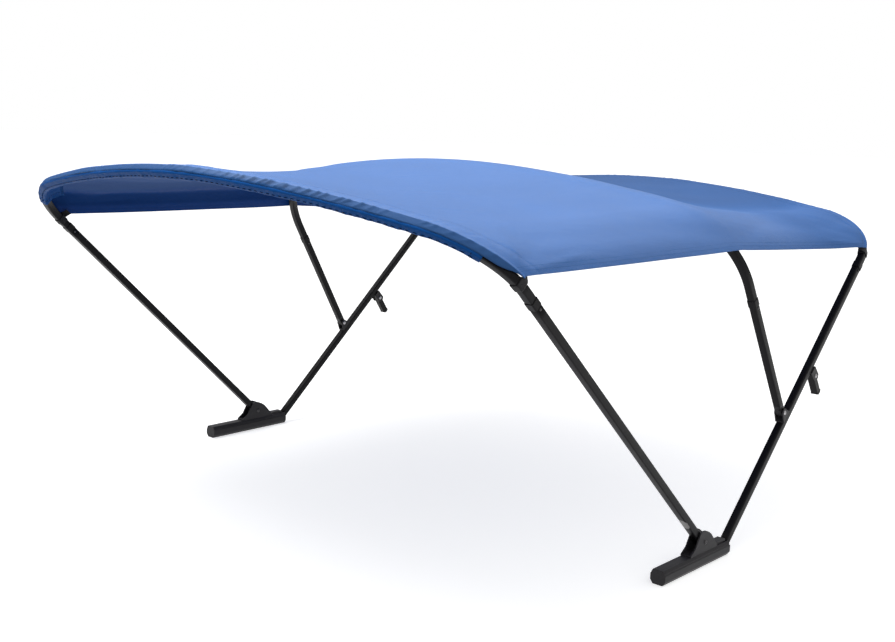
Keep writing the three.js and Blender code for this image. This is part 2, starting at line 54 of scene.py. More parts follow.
# Sizes of the bows, in metres, each in its own tilted plane: x sideways, s up along the bow
BASE_MIDDLE = 0.350926  # from the rails' front end to the middle of the part
HALF_SPAN = 1.28  # legs' middle plane, sideways, at LEAN_HEIGHT
LEAN = 0.0211  # each side leans in by this much per metre of height
LEAN_HEIGHT = 0.083
SHOULDER = 1.0  # half width of the flat crown
BEND_PULL = 0.6  # how tightly the shoulder turns into the leg
TUBE = 0.03
FIT_GAP = 0.0003
BOWS = {
    "A": dict(foot=(0.276, 0.094), angle=136.6, crown=1.871, drop=0.143, power=1.8, bend=0.185,
              joint=1.425, sewn=1, start=-0.016),
    "B": dict(foot=(0.460, 0.043), angle=43.3, crown=1.821, drop=0.126, power=1.8, bend=0.175,
              joint=1.425, sewn=-1, start=-0.012),
    "C": dict(foot=(0.856, 0.480), angle=120.5, crown=1.056, drop=0.112, power=1.85, bend=0.278,
              joint=0.545, sewn=1, start=0.0193),
}

# Sizes of the canopy, in metres; A, B and C are the front, rear and middle bow
LIFT = 0.0199  # from the middle of a front or rear tube to the middle of the sheet
RIDGE_LIFT = 0.0186  # the same over the middle bow
CREASE_ROUND = 0.006  # rounding of the front and rear crease
TURN_DOWN = 0.030  # depth of the turned hem at that crease
TURN_ENDS = 0.93  # share of the half girth where that hem begins to narrow
EDGE_THICKNESS = 0.0006
EDGE_TUCK = 0.0006  # how far that hem's free edge lies nearer the tube
PANEL = {"AC": 1.39, "CB": 1.48}  # length of the cloth between two bows
RIDGE = 0.055  # share of a panel in the rounding over the middle bow
SAG = {"AC": 0.042, "CB": 0.045}
SAG_FADE = 0.62  # share of the half girth where the sag begins to fade
SAG_LEFT = 0.2  # share of the sag left at the side hem
HEM_HEIGHT = {"A": 1.139, "C": 1.129, "B": 1.078}
HEM_SKEW = 0.013  # the left hem hangs this much lower and the right one higher
CORNER_PULL = 0.004  # how far the straps pull the corners off the bow
PULL_START = 0.9  # share of the half girth where that pull begins

# Rows and columns of the canopy's grid
HEM_ROWS = 8
NEAR_ROWS, NEAR_STEP = 13, 0.008  # close rows beside a crease
PANEL_ROWS, RIDGE_ROWS = 33, 8
INNER_COLUMNS = 400
EDGE_SHARES = (0.962, 0.968, 0.973, 0.978, 0.981, 0.985, 0.9895, 0.994, 0.998, 1.0)

# Sizes of the pockets and straps, in metres
POCKET_HALF = 1.19
POCKET_OUT = 0.0175  # from the tube's middle to the middle of the pocket
POCKET_DEPTH = 0.070  # how far a pocket reaches back under the canopy
POCKET_SEAM = 0.016
POCKET_COLUMNS = 230
POCKET_CORNER_ROW = 12  # row of a pocket's grid along the tube's outer corner
STRAP = dict(width=0.028, thick=0.0014, air=0.001, tail=0.046)
STRAP_AT = {"A": 1.490, "B": 1.476}


# Settings a user would change
def colour_setting(name, about, default):
    return FloatVectorProperty(name=name, description=about, subtype="COLOR", default=default, min=0, max=1)


def size_setting(name, about, default):
    return FloatProperty(name=name, description=about, default=default, unit="LENGTH")


def level_setting(name, about, default):
    return FloatProperty(name=name, description=about, default=default)


class ClothSettings(bpy.types.PropertyGroup):
    """Cloth and webbing."""

    colour: colour_setting("Cloth colour", "Colour of the canopy cloth", (0.032, 0.155, 0.482))
    # A darker copy of the canopy cloth's colour: painted shade on the pockets
    shaded_pocket_colour: colour_setting("Pocket colour", "Colour of the pockets", (0.009, 0.092, 0.35))
    # A darker copy of the canopy cloth's colour: painted shade on the turned hems
    shaded_hem_colour: colour_setting("Hem colour", "Colour of the turned hems", (0.016, 0.085, 0.26))
    underside: colour_setting("Underside colour", "Colour of the canopy's inner face", (0.001, 0.066, 0.32))
    thickness: size_setting("Cloth thickness", "Thickness of the canopy away from its hems", 0.0014)
    hem_thickness: size_setting("Hem thickness", "Thickness of the folded hems", 0.0021)
    hem_width: size_setting("Hem width", "Width of the side hems", 0.026)
    fold_depth: size_setting("Fold depth", "Depth of the soft folds across the canopy", 0.0040)
    pucker_depth: size_setting("Pucker depth", "Depth of the gathers along the pocket seams", 0.0038)
    weave: size_setting("Weave", "Distance between threads", 0.0016)
    stitch_pitch: size_setting("Stitch spacing", "Distance between stitches", 0.006)
    stitch_length: size_setting("Stitch length", "Length of one stitch", 0.0042)
    seed: IntProperty(name="Seed", description="Seed of the uneven folds", default=7)


class FrameSettings(bpy.types.PropertyGroup):
    """Tubes and fittings."""

    paint: colour_setting("Paint colour", "Colour of the powder coat", (0.0078, 0.0073, 0.0084))
    plastic: colour_setting("Bracket colour", "Colour of rails and brackets", (0.024, 0.0228, 0.0254))
    corner: size_setting("Tube corner", "Rounding of the square tube", 0.0042)
    edge: size_setting("Edge rounding", "Rounding of moulded edges", 0.0012)


class StageSettings(bpy.types.PropertyGroup):
    """Floor and light."""

    floor: colour_setting("Floor colour", "Colour of the floor", (0.7, 0.7, 0.7))
    glow: level_setting("Floor glow", "Evenness of the floor's brightness", 0.62)
    backdrop: level_setting("Backdrop", "Brightness of the white backdrop", 1.0)
    key: level_setting("Key light", "Strength of the soft light from the front", 142.0)
    top: level_setting("Top light", "Strength of the soft light from above", 40.0)
    sky: level_setting("Sky light", "Brightness of the surroundings overhead", 0.95)
    bounce: level_setting("Bounced light", "Brightness of the surroundings below", 0.42)
    horizon: level_setting("Horizon", "Brightness of the surroundings level with the canopy", 0.09)


# Meshes
def linked(name, data):
    """A new object in the scene."""
    obj = bpy.data.objects.new(name, data)
    bpy.context.scene.collection.objects.link(obj)
    return obj


def smooth_faces(mesh):
    mesh.polygons.foreach_set("use_smooth", [True] * len(mesh.polygons))


def new_mesh(name, points, faces, finish=None, uvs=None, smooth=True):
    mesh = bpy.data.meshes.new(name)
    mesh.from_pydata([tuple(p) for p in points], [], [tuple(int(i) for i in f) for f in faces])
    if uvs is not None:
        layer = mesh.uv_layers.new(name="UVMap")
        index = np.empty(len(mesh.loops), int)
        mesh.loops.foreach_get("vertex_index", index)
        layer.data.foreach_set("uv", np.asarray(uvs, float)[index].ravel())
    if smooth:
        smooth_faces(mesh)
    if finish:
        mesh.materials.append(finish)
    return linked(name, mesh)


def mesh_points(mesh):
    points = np.empty(len(mesh.vertices) * 3)
    mesh.vertices.foreach_get("co", points)
    return points.reshape(-1, 3)


def apply_modifiers(obj):
    """The object's evaluated mesh takes the place of its own."""
    graph = bpy.context.evaluated_depsgraph_get()
    graph.update()
    mesh = bpy.data.meshes.new_from_object(obj.evaluated_get(graph))
    obj.modifiers.clear()
    old = obj.data
    obj.data = mesh
    mesh.name = obj.name
    bpy.data.meshes.remove(old)
    return obj


def settle(obj, body, slot, *nodes):
    """A finished piece: it rides on a body and stands for its nodes. The slot is not used."""
    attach(obj, body)
    if nodes:
        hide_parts(*nodes)
    return obj


def smooth_step(t):
    t = np.clip(t, 0, 1)
    return t * t * (3 - 2 * t)


def ring_faces(rings, size):
    """Sides and ends of a bar whose points lie in closed rings, one ring after another."""
    faces = []
    for i in range(rings - 1):
        for j in range(size):
            a, b = i * size + j, i * size + (j + 1) % size
            faces.append((a, b, b + size, a + size))
    return faces + [tuple(range(size))[::-1], tuple(range((rings - 1) * size, rings * size))]


def swept(name, line, across, normal, section, finish):
    """A closed bar along a line of points: the section's x lies on across, its y on normal."""
    across, normal = (np.broadcast_to(axis, line.shape)[:, None] for axis in (across, normal))
    points = line[:, None] + section[None, :, :1] * across + section[None, :, 1:] * normal
    obj = new_mesh(name, points.reshape(-1, 3), ring_faces(len(line), len(section)), finish)
    mesh = bmesh.new()
    mesh.from_mesh(obj.data)
    bmesh.ops.recalc_face_normals(mesh, faces=mesh.faces)
    for face in mesh.faces:
        face.smooth = len(face.verts) == 4
    mesh.to_mesh(obj.data)
    mesh.free()
    return obj


def quarter(x, y, radius, start, steps, flip=1):
    """Points of a quarter turn about (x, y), from an angle in degrees."""
    return [(x + radius * math.cos(q), y + flip * radius * math.sin(q))
            for q in np.radians(np.linspace(start, start + 90, steps))]


def rounded_square(side, radius, steps=5):
    half = side / 2 - radius
    corners = enumerate([(half, half), (-half, half), (-half, -half), (half, -half)])
    return np.array([point for k, (x, y) in corners for point in quarter(x, y, radius, 90 * k, steps)])


# Bows
def tilt(bow):
    return math.radians(bow["angle"])


def leg_x(bow, s):
    return HALF_SPAN - LEAN * (bow["foot"][1] + s * math.sin(tilt(bow)) - LEAN_HEIGHT)


def half_profile(bow):
    """Centre line of half a bow in its plane, from the crown down to the joint, as (x, s)."""
    x = np.linspace(0, SHOULDER, 90)[:-1]
    crown = np.stack([x, bow["crown"] - bow["drop"] * (x / SHOULDER) ** bow["power"]], 1)
    start = np.array([SHOULDER, bow["crown"] - bow["drop"]])
    slope = -bow["drop"] * bow["power"] / SHOULDER
    meet = np.array([HALF_SPAN, 0.0])
    for _ in range(4):
        meet[1] = start[1] + slope * (meet[0] - start[0])
        meet[0] = leg_x(bow, meet[1])
    foot = meet[1] - bow["bend"]
    end = np.array([leg_x(bow, foot), foot])
    pull1, pull2 = start + (meet - start) * BEND_PULL, end + (meet - end) * BEND_PULL
    t = np.linspace(0, 1, 60)[:, None]
    bend = (1 - t) ** 3 * start + 3 * (1 - t) ** 2 * t * pull1 + 3 * (1 - t) * t ** 2 * pull2 + t ** 3 * end
    leg = np.array([[leg_x(bow, s), s] for s in np.linspace(foot, bow["joint"], 24)[1:]])
    return np.concatenate([crown, bend, leg])


def to_part(bow, x, s, z):
    """Points given in a bow's plane, in the part's frame."""
    turn = tilt(bow)
    y = bow["foot"][0] - BASE_MIDDLE + s * math.cos(turn) - z * math.sin(turn)
    return np.stack(np.broadcast_arrays(x, y, bow["foot"][1] + s * math.sin(turn) + z * math.cos(turn)), -1)


def plane_axes(bow):
    """Up-along and square-to-plane directions of a bow in the part's frame."""
    turn = tilt(bow)
    return np.array([0, math.cos(turn), math.sin(turn)]), np.array([0, -math.sin(turn), math.cos(turn)])


# Node trees
class Tree:
    """Short way to add nodes: each socket is set to a value or linked to another node's output."""

    def __init__(self, tree):
        self.tree = tree

    def make(self, kind, output, sockets, **values):
        node = self.tree.nodes.new(kind)
        for key, value in values.items():
            setattr(node, key, value)
        for key, value in sockets.items():
            if isinstance(value, bpy.types.NodeSocket):
                self.tree.links.new(value, node.inputs[key])
            elif value is not None:
                node.inputs[key].default_value = value
        return node.outputs[output]


class Nodes(Tree):
    """A material's tree around its shader."""

    def __init__(self, name):
        self.material = bpy.data.materials.new(name)
        self.material.use_nodes = True
        super().__init__(self.material.node_tree)
        self.shader = self.tree.nodes["Principled BSDF"]

    def set(self, **values):
        for key, value in values.items():
            self.shader.inputs[key.replace("_", " ")].default_value = value

    def mapped(self, vector, **values):
        return self.make("ShaderNodeMapping", "Vector", {"Vector": vector, **values})

    def coordinates(self, output, **values):
        return self.mapped(self.make("ShaderNodeTexCoord", output, {}), **values)

    def noise(self, vector, scale, detail=3.0, roughness=0.5):
        return self.make("ShaderNodeTexNoise", "Fac",
                         {"Vector": vector, "Scale": scale, "Detail": detail, "Roughness": roughness})

    def wave(self, vector, direction, scale):
        return self.make("ShaderNodeTexWave", "Fac", {"Vector": vector, "Scale": scale},
                         bands_direction=direction)

    def math(self, operation, a, b=None):
        return self.make("ShaderNodeMath", 0, {0: a, 1: b}, operation=operation)

    def ramp(self, value, low, high, out_low=0.0, out_high=1.0):
        return self.make("ShaderNodeMapRange", "Result", {
            "Value": value, "From Min": low, "From Max": high, "To Min": out_low, "To Max": out_high})

    def mix(self, factor, a, b):
        a, b = (c if isinstance(c, bpy.types.NodeSocket) else (*c[:3], 1) for c in (a, b))
        return self.make("ShaderNodeMix", 2, {"Factor": factor, 6: a, 7: b}, data_type="RGBA")

    def bump(self, height, distance, strength=1.0, normal=None):
        return self.make("ShaderNodeBump", "Normal", {
            "Height": height, "Distance": distance, "Strength": strength, "Normal": normal})

    def finish(self, **sockets):
        for key, value in sockets.items():
            self.tree.links.new(value, self.shader.inputs[key.replace("_", " ")])
        return self.material


class GeometryTree(Tree):
    """Tree with named inputs that sets one shape at many points."""

    def __init__(self, name, **inputs):
        super().__init__(bpy.data.node_groups.new(name, "GeometryNodeTree"))
        face = self.tree.interface
        face.new_socket(name="Geometry", in_out="INPUT", socket_type="NodeSocketGeometry")
        self.keys = {}
        for label, default in inputs.items():
            socket = face.new_socket(name=label, in_out="INPUT", socket_type="NodeSocketFloat")
            socket.default_value = default
            self.keys[label] = socket.identifier
        face.new_socket(name="Geometry", in_out="OUTPUT", socket_type="NodeSocketGeometry")
        self.entry = self.tree.nodes.new("NodeGroupInput").outputs

    def close(self, points, shape, axis, facing, sizes, finish):
        """One shape at each point: its axis lies along facing, and the inputs named give its sizes."""
        turn = self.make("FunctionNodeAlignRotationToVector", "Rotation", {"Vector": facing}, axis=axis)
        size = self.make("ShaderNodeCombineXYZ", "Vector", {
            way: self.entry[label] for way, label in zip("XYZ", sizes)})
        placed = self.make("GeometryNodeInstanceOnPoints", "Instances", {
            "Points": points, "Instance": shape, "Rotation": turn, "Scale": size})
        plain = self.make("GeometryNodeRealizeInstances", "Geometry", {"Geometry": placed})
        painted = self.make("GeometryNodeSetMaterial", "Geometry", {"Geometry": plain, "Material": finish})
        self.tree.links.new(painted, self.tree.nodes.new("NodeGroupOutput").inputs["Geometry"])
        return self


# Materials
def shade(colour, factor):
    return tuple(min(1.0, c * factor) for c in colour)


def woven_cloth(name, colour, weave, gloss):
    """Matt woven cloth: threads and soft creases on the piece's own map, uneven dye on its place.
    The attribute nap paints shade above 0, a darker blue, and painted light below 0, a pale grey-blue."""
    m = Nodes(name)
    m.set(Specular_IOR_Level=gloss)
    threads = m.coordinates("UV")
    warp, weft = (m.wave(threads, way, 1 / (2 * weave)) for way in "XY")
    pattern = m.math("MULTIPLY", m.math("ADD", warp, weft), 0.5)
    dye = m.noise(m.coordinates("Object"), 2.2, 4)
    slub = m.noise(m.coordinates("UV", Scale=(60, 6, 1)), 9, 3)
    mottle = m.math("ADD", m.math("MULTIPLY", dye, 0.6), m.math("MULTIPLY", slub, 0.4))
    deep = m.mix(m.ramp(mottle, 0.3, 0.7), shade(colour, 0.9), shade(colour, 1.1))
    # Painted shade where the value is above 0, painted light where it is below 0
    nap = m.make("ShaderNodeAttribute", "Fac", {}, attribute_name="nap")
    # Painted shade: the cloth darkened towards a deeper blue
    deep = m.mix(nap, deep, shade(colour, 0.36))
    # Painted light: the cloth paled towards a grey-blue, like light bounced up from the floor
    deep = m.mix(m.math("MULTIPLY", nap, -1.0), deep, (0.16, 0.25, 0.46))
    tinted = m.mix(m.ramp(pattern, 0.1, 0.9, 0, 0.35), deep, shade(colour, 1.35))
    creases = m.noise(m.coordinates("UV", Scale=(9, 3.2, 1), Rotation=(0, 0, 0.25)), 2.4, 5, 0.55)
    rumples = m.noise(m.coordinates("UV", Scale=(26, 9, 1)), 2.0, 3, 0.5)
    normal = m.bump(creases, 0.006, 0.35)
    normal = m.bump(rumples, 0.0016, 0.3, normal)
    normal = m.bump(pattern, 0.00025, 0.6, normal)
    # Rougher where shade or light is painted
    matt = m.math("MINIMUM", m.math("MULTIPLY", m.math("ABSOLUTE", nap), 0.9), 0.5)
    rough = m.math("ADD", m.ramp(slub, 0.2, 0.8, 0.32, 0.42), matt)
    return m.finish(Base_Color=tinted, Roughness=rough, Normal=normal)


def webbing(name):
    """Black flat webbing with a ribbed weave on its own map."""
    m = Nodes(name)
    m.set(Specular_IOR_Level=0.3, Sheen_Weight=0.15)
    ribs = m.wave(m.coordinates("UV"), "X", 160.0)
    cross = m.wave(m.coordinates("UV", Rotation=(0, 0, 0.8)), "DIAGONAL", 240.0)
    height = m.math("MULTIPLY", m.math("ADD", ribs, cross), 0.5)
    colour = m.mix(m.ramp(height, 0.2, 0.8), (0.008, 0.008, 0.009), (0.022, 0.021, 0.024))
    return m.finish(Base_Color=colour, Roughness=m.ramp(height, 0.1, 0.9, 0.9, 0.7),
                    Normal=m.bump(height, 0.0004, 0.8))


def thread(name, colour):
    """Sewing thread, twisted."""
    m = Nodes(name)
    m.set(Roughness=0.8, Specular_IOR_Level=0.05)
    twist = m.wave(m.coordinates("Object"), "DIAGONAL", 900.0)
    return m.finish(Base_Color=m.mix(twist, shade(colour, 0.7), shade(colour, 1.2)),
                    Normal=m.bump(twist, 0.0001, 0.5))


def powder_coat(name, colour, worn=False):
    """Satin black powder coat: fine orange peel and faint rub marks.
    Its last argument adds a pale grey patch low on a front leg."""
    m = Nodes(name)
    m.set(Specular_IOR_Level=0.13)
    place = m.coordinates("Object")
    peel = m.noise(place, 420, 2, 0.6)
    cloud = m.noise(place, 9, 4)
    rubbed = m.ramp(m.noise(m.coordinates("Object", Scale=(1, 0.35, 0.35)), 130, 6, 0.7), 0.62, 0.78)
    tone = m.mix(m.ramp(cloud, 0.3, 0.7), shade(colour, 0.8), shade(colour, 1.25))
    tone = m.mix(m.math("MULTIPLY", rubbed, 0.35), tone, (0.075, 0.072, 0.078))
    if worn:
        # A pale grey patch low on the leg, with a ragged edge
        turned = m.mapped(m.coordinates("Object", Location=(-1.2775, 0.1925, -0.1815)),
                          Rotation=(math.radians(43.4), 0, 0))
        away = m.make("ShaderNodeVectorMath", "Value", {0: m.mapped(turned, Scale=(55, 29, 70))},
                      operation="LENGTH")
        edge = m.math("ADD", away, m.math("MULTIPLY", m.noise(place, 55, 4), 0.7))
        tone = m.mix(m.ramp(edge, 1.35, 1.2), tone, (0.48, 0.47, 0.47))
    return m.finish(Base_Color=tone, Roughness=m.ramp(cloud, 0.25, 0.75, 0.33, 0.45),
                    Normal=m.bump(peel, 0.00025, 0.35))


def moulded(name, colour, rough):
    """Moulded nylon: fine grain, flow marks and pale scuffs."""
    m = Nodes(name)
    m.set(Specular_IOR_Level=0.24)
    place = m.coordinates("Object")
    grain = m.noise(place, 900, 2, 0.6)
    flow = m.noise(m.coordinates("Object", Scale=(1, 0.15, 1)), 60, 4)
    scuff = m.ramp(m.noise(place, 75, 6, 0.75), 0.6, 0.75)
    tone = m.mix(m.ramp(flow, 0.3, 0.7), shade(colour, 0.85), shade(colour, 1.2))
    tone = m.mix(m.math("MULTIPLY", scuff, 0.3), tone, shade(colour, 3.0))
    rough = m.math("ADD", m.ramp(flow, 0.2, 0.8, rough - 0.07, rough + 0.07), m.math("MULTIPLY", scuff, 0.1))
    return m.finish(Base_Color=tone, Roughness=rough, Normal=m.bump(grain, 0.0003, 0.3))


def bare_steel(name, light):
    """Steel heads with turned marks."""
    m = Nodes(name)
    m.set(Metallic=1.0)
    cloud = m.noise(m.coordinates("Object"), 60, 3)
    marks = m.noise(m.coordinates("Object", Scale=(1, 12, 12)), 120, 4, 0.6)
    tone = m.mix(m.ramp(cloud, 0.3, 0.7), shade((0.36, 0.35, 0.36), light), shade((0.55, 0.54, 0.55), light))
    return m.finish(Base_Color=tone, Roughness=m.ramp(marks, 0.3, 0.7, 0.28, 0.45),
                    Normal=m.bump(marks, 0.0001, 0.4))


def material(name):
    """A finish by its name, made once."""
    found = bpy.data.materials.get(name)
    if found:
        return found
    cloth, metal = bpy.context.scene.bimini_cloth, bpy.context.scene.bimini_frame
    make, *values = {
        "canopy_weave": (woven_cloth, cloth.colour, cloth.weave, 0.6),
        "underside_weave": (woven_cloth, cloth.underside, cloth.weave, 0.10),
        # Darker copy of the canopy cloth: painted shade on the turned hems
        "hem_weave": (woven_cloth, cloth.shaded_hem_colour, cloth.weave, 0.08),
        # Darker copy of the canopy cloth: painted shade on the pockets
        "pocket_weave": (woven_cloth, cloth.shaded_pocket_colour, cloth.weave, 0.02),
        "black_webbing": (webbing,),
        # Near-black thread for the large seam dashes: partly stitching, partly painted shadow of the puckered
        # seams
        "seam_thread": (thread, (0.004, 0.010, 0.035)),
        "blue_thread": (thread, shade(cloth.colour, 0.55)),
        "black_thread": (thread, (0.012, 0.012, 0.013)),
        "powder_coat": (powder_coat, metal.paint),
        "worn_powder_coat": (powder_coat, metal.paint, True),
        "bracket_nylon": (moulded, metal.plastic, 0.48),
        "plug_nylon": (moulded, shade(metal.plastic, 0.45), 0.55),
        "bolt_steel": (bare_steel, 1.0),
        "dark_steel": (bare_steel, 0.16),
    }[name]
    return make(name, *values)


# Cloth surfaces
def bow_columns(letter, shares, lift):
    """Places and outward directions of a bow's centre line under the cloth's columns.
    The shares of the half girth run from -1 to 1."""
    bow = BOWS[letter]
    profile = half_profile(bow)
    length = np.concatenate([[0], np.cumsum(np.hypot(*np.diff(profile, axis=0).T))])
    pull = 0.0 if letter == "C" else CORNER_PULL
    raised = (lift + pull) * abs(math.cos(tilt(bow)))
    height = bow["foot"][1] + profile[:, 1] * math.sin(tilt(bow)) + raised
    x, s, nx, ns, girth = (np.empty(len(shares)) for _ in range(5))
    step = 0.004
    for sign in (-1, 1):
        picked = shares < 0 if sign < 0 else shares >= 0
        hem = HEM_HEIGHT[letter] + sign * HEM_SKEW
        past = np.where((profile[:, 0] > SHOULDER) & (height < hem))[0]
        total = length[-1]
        if len(past):
            i = past[0]
            part = (height[i - 1] - hem) / (height[i - 1] - height[i])
            total = length[i - 1] + part * (length[i] - length[i - 1])
        at = np.abs(shares[picked]) * total
        (px, ax), (ps, as_) = (
            (np.interp(at, length, line),
             np.interp(at + step, length, line) - np.interp(at - step, length, line))
            for line in profile.T)
        size = np.hypot(ax, as_)
        x[picked], s[picked] = sign * px, ps
        nx[picked], ns[picked] = -sign * as_ / size, ax / size
        girth[picked] = sign * at
    nx[np.abs(shares) < 1e-9] = 0
    reach = pull * smooth_step((np.abs(shares) - PULL_START) / (1 - PULL_START))
    return dict(x=x, s=s, nx=nx, ns=ns, share=np.abs(shares), reach=reach, girth=girth, bow=bow)


def beside(columns, back, out, reach=None):
    """Points beside a bow: back is behind its plane, out is off its tube's middle."""
    bow = columns["bow"]
    pulled = columns["reach"] if reach is None else reach
    away = bow["sewn"] * -(back + pulled * np.where(np.asarray(back) > 0, 1, 0.6))
    return to_part(bow, columns["x"] + columns["nx"] * out, columns["s"] + columns["ns"] * out, away)


class Canopy:
    """The canopy's middle surface on a grid of shares across it."""

    def __init__(self, shares):
        self.a = bow_columns("A", shares, LIFT)
        self.b = bow_columns("B", shares, LIFT)
        self.c = bow_columns("C", shares, RIDGE_LIFT)
        crease = LIFT - CREASE_ROUND
        self.front = beside(self.a, LIFT, crease)
        self.rear = beside(self.b, LIFT, crease)
        self.ridge = beside(self.c, TUBE / 2, RIDGE_LIFT)
        inward = np.stack([-self.c["nx"], 0 * self.c["nx"], -self.c["ns"] * math.sin(tilt(BOWS["C"]))], 1)
        self.inward = inward / np.linalg.norm(inward, axis=1)[:, None]
        self.tight = 1 - (1 - SAG_LEFT) * smooth_step((self.c["share"] - SAG_FADE) / (1 - SAG_FADE))

    def point(self, panel, t):
        """Row of points at a share of a panel's length."""
        start, end = (self.front, self.ridge) if panel == "AC" else (self.ridge, self.rear)
        sag = (SAG[panel] * 4 * t * (1 - t)) * self.tight
        return start + (end - start) * t + self.inward * sag[:, None]

    @staticmethod
    def turned(columns):
        """Rows of a front or rear hem, from its edge to the panel's first row."""
        depth = TURN_DOWN - (TURN_DOWN - CREASE_ROUND - 0.0015) * smooth_step(
            (columns["share"] - TURN_ENDS) / (1 - TURN_ENDS))
        inner, r = LIFT - CREASE_ROUND, CREASE_ROUND
        places = [(inner - (depth - r) * (1 - k / (HEM_ROWS - 1)), LIFT) for k in range(HEM_ROWS)]
        places[0] = (places[0][0], LIFT - EDGE_TUCK)
        places += [(inner + r * math.sin(q), inner + r * math.cos(q)) for q in (0.52, 1.05)]
        return [beside(columns, back, out) for back, out in places]

    def rows(self):
        """Rows from the front hem's edge to the rear one."""
        near = {panel: NEAR_STEP / length for panel, length in PANEL.items()}
        rows = self.turned(self.a)
        rows += [self.point("AC", k * near["AC"]) for k in range(NEAR_ROWS)]
        rows += [self.point("AC", t) for t in np.linspace(NEAR_ROWS * near["AC"], 1 - RIDGE, PANEL_ROWS)[:-1]]
        start, end, crest = self.point("AC", 1 - RIDGE), self.point("CB", RIDGE), self.point("CB", 0)
        pull = 2 * crest - (start + end) / 2
        for t in np.linspace(0, 1, RIDGE_ROWS):
            rows.append((1 - t) ** 2 * start + 2 * t * (1 - t) * pull + t ** 2 * end)
        rows += [self.point("CB", t) for t in np.linspace(RIDGE, 1 - NEAR_ROWS * near["CB"], PANEL_ROWS)[1:]]
        rows += [self.point("CB", 1 - k * near["CB"]) for k in reversed(range(NEAR_ROWS))]
        return np.stack(rows + self.turned(self.b)[::-1])


def grid_normals(grid):
    du = np.gradient(grid, axis=1)
    dv = np.gradient(grid, axis=0)
    normal = np.cross(du, dv)
    return normal / np.linalg.norm(normal, axis=2)[..., None]


def closed_sheet(name, grid, thickness, uv, finish, under_finish=None):
    """A sheet with two faces and its four edges closed, from a grid of middle points and a thickness each."""
    rows, size = grid.shape[:2]
    offset = grid_normals(grid) * np.broadcast_to(thickness, (rows, size))[..., None] / 2
    points = np.concatenate([(grid + offset).reshape(-1, 3), (grid - offset).reshape(-1, 3)])
    under = rows * size
    index = np.arange(under).reshape(rows, size)
    quads = np.stack([index[:-1, :-1], index[:-1, 1:], index[1:, 1:], index[1:, :-1]], -1).reshape(-1, 4)
    faces = [quads, quads[:, ::-1] + under]
    for line in (index[0], index[-1][::-1], index[:, 0][::-1], index[:, -1]):
        a, b = line[:-1], line[1:]
        faces.append(np.stack([b, a, a + under, b + under], 1))
    obj = new_mesh(name, points, np.concatenate(faces), finish, np.concatenate([uv.reshape(-1, 2)] * 2))
    if under_finish:
        repaint(obj.data, under_finish, [range(len(quads), 2 * len(quads))])
    return obj


def repaint(mesh, finish, stretches):
    """Some of a mesh's faces in a further finish."""
    mesh.materials.append(finish)
    index = np.empty(len(mesh.polygons), int)
    mesh.polygons.foreach_get("material_index", index)
    for faces in stretches:
        index[faces.start:faces.stop] = len(mesh.materials) - 1
    mesh.polygons.foreach_set("material_index", index)


def arc_map(grid, columns):
    """Map of a grid in metres: across the cloth from its middle, and along it from the front edge."""
    steps = np.linalg.norm(np.diff(grid, axis=0), axis=2)
    along = np.concatenate([np.zeros((1, grid.shape[1])), np.cumsum(steps, axis=0)])
    along = np.broadcast_to(along[:, grid.shape[1] // 2][:, None], grid.shape[:2])
    return np.stack([np.broadcast_to(columns["girth"], grid.shape[:2]), along], -1)


def uneven(seed, value, wavelength, terms=7, spread=0.6):
    """A smooth uneven wave along a value, between about -1 and 1."""
    rng = np.random.RandomState(seed)
    total = np.zeros_like(value)
    for _ in range(terms):
        length = wavelength * (1 + spread * (rng.rand() * 2 - 1))
        total += math.sqrt(2 / terms) * np.sin(2 * math.pi * (value / length + rng.rand()))
    return total


def trough(x, y, start, end, width, depth):
    """A soft trough or ridge along a line on the cloth's map, fading at both ends."""
    start, end = np.array(start, float), np.array(end, float)
    along = end - start
    length = np.linalg.norm(along)
    along /= length
    t = ((x - start[0]) * along[0] + (y - start[1]) * along[1]) / length
    off = (x - start[0]) * -along[1] + (y - start[1]) * along[0]
    bend = width * 0.5 * np.sin(t * 2.4)
    fade = smooth_step(t / 0.25) * smooth_step((1 - t) / 0.35)
    return depth * fade * np.exp(-(((off - bend) / width) ** 2))


def cover(lift, edge, turned):
    """Folds of the turned hem only: they fade at the crease."""
    return lift * smooth_step(-edge / 0.006) * smooth_step((edge + turned + 0.004) / 0.006)


def crease_gathers(x, edge, front, rng, pucker):
    """Gathers at one crease: edge is the distance past it, below 0 on the turned hem."""
    turned = TURN_DOWN + 0.004
    seam = POCKET_DEPTH + 0.008
    lift = np.zeros_like(x)
    place = -1.22
    while place < 1.22:
        place += 0.040 + 0.016 * rng.uniform(-1, 1)
        strong = 0.3 + 1.1 * math.exp(-(((place - 0.48) / 0.42) ** 2)) if front else 0.4
        over = math.copysign(0.050, place + 0.3) * rng.uniform(0.6, 1.2)
        start, end = (place, -turned + 0.001), (place + over, -0.003 + 0.004 * rng.uniform(-1, 1))
        lift += cover(trough(x, edge, start, end, 0.0046, pucker * 0.95 * strong), edge, turned)
        if rng.uniform() < 0.6:
            start, end = (place + 0.015, -turned * 0.8), (place + 0.015 + 0.5 * over, -0.006)
            lift += cover(trough(x, edge, start, end, 0.0032, pucker * 0.5 * strong), edge, turned)
    place = -1.12
    while place < 1.12:
        place += 0.046 + 0.015 * rng.uniform(-1, 1)
        strong = 0.4 + 0.75 * math.exp(-(((place - 0.32) / 0.42) ** 2)) if front else 0.45
        lean = math.copysign(0.034, place + 0.05) * rng.uniform(0.7, 1.3)
        start = (place, 0.007 + 0.006 * rng.uniform(0, 1))
        end = (place + lean, seam + 0.012 * rng.uniform(-1, 1))
        amount = pucker * strong * rng.uniform(0.55, 1.2)
        lift += trough(x, edge, start, end, 0.0075, -amount)
        lift += trough(x, edge, (start[0] + 0.02, start[1]), (end[0] + 0.02, end[1]), 0.009, 0.5 * amount)
    lift += 0.0042 * smooth_step(edge / 0.05) * np.exp(-((np.maximum(edge - 0.05, 0) / 0.12) ** 2))
    return lift - 0.0011 * np.exp(-(((edge - seam) / 0.006) ** 2))


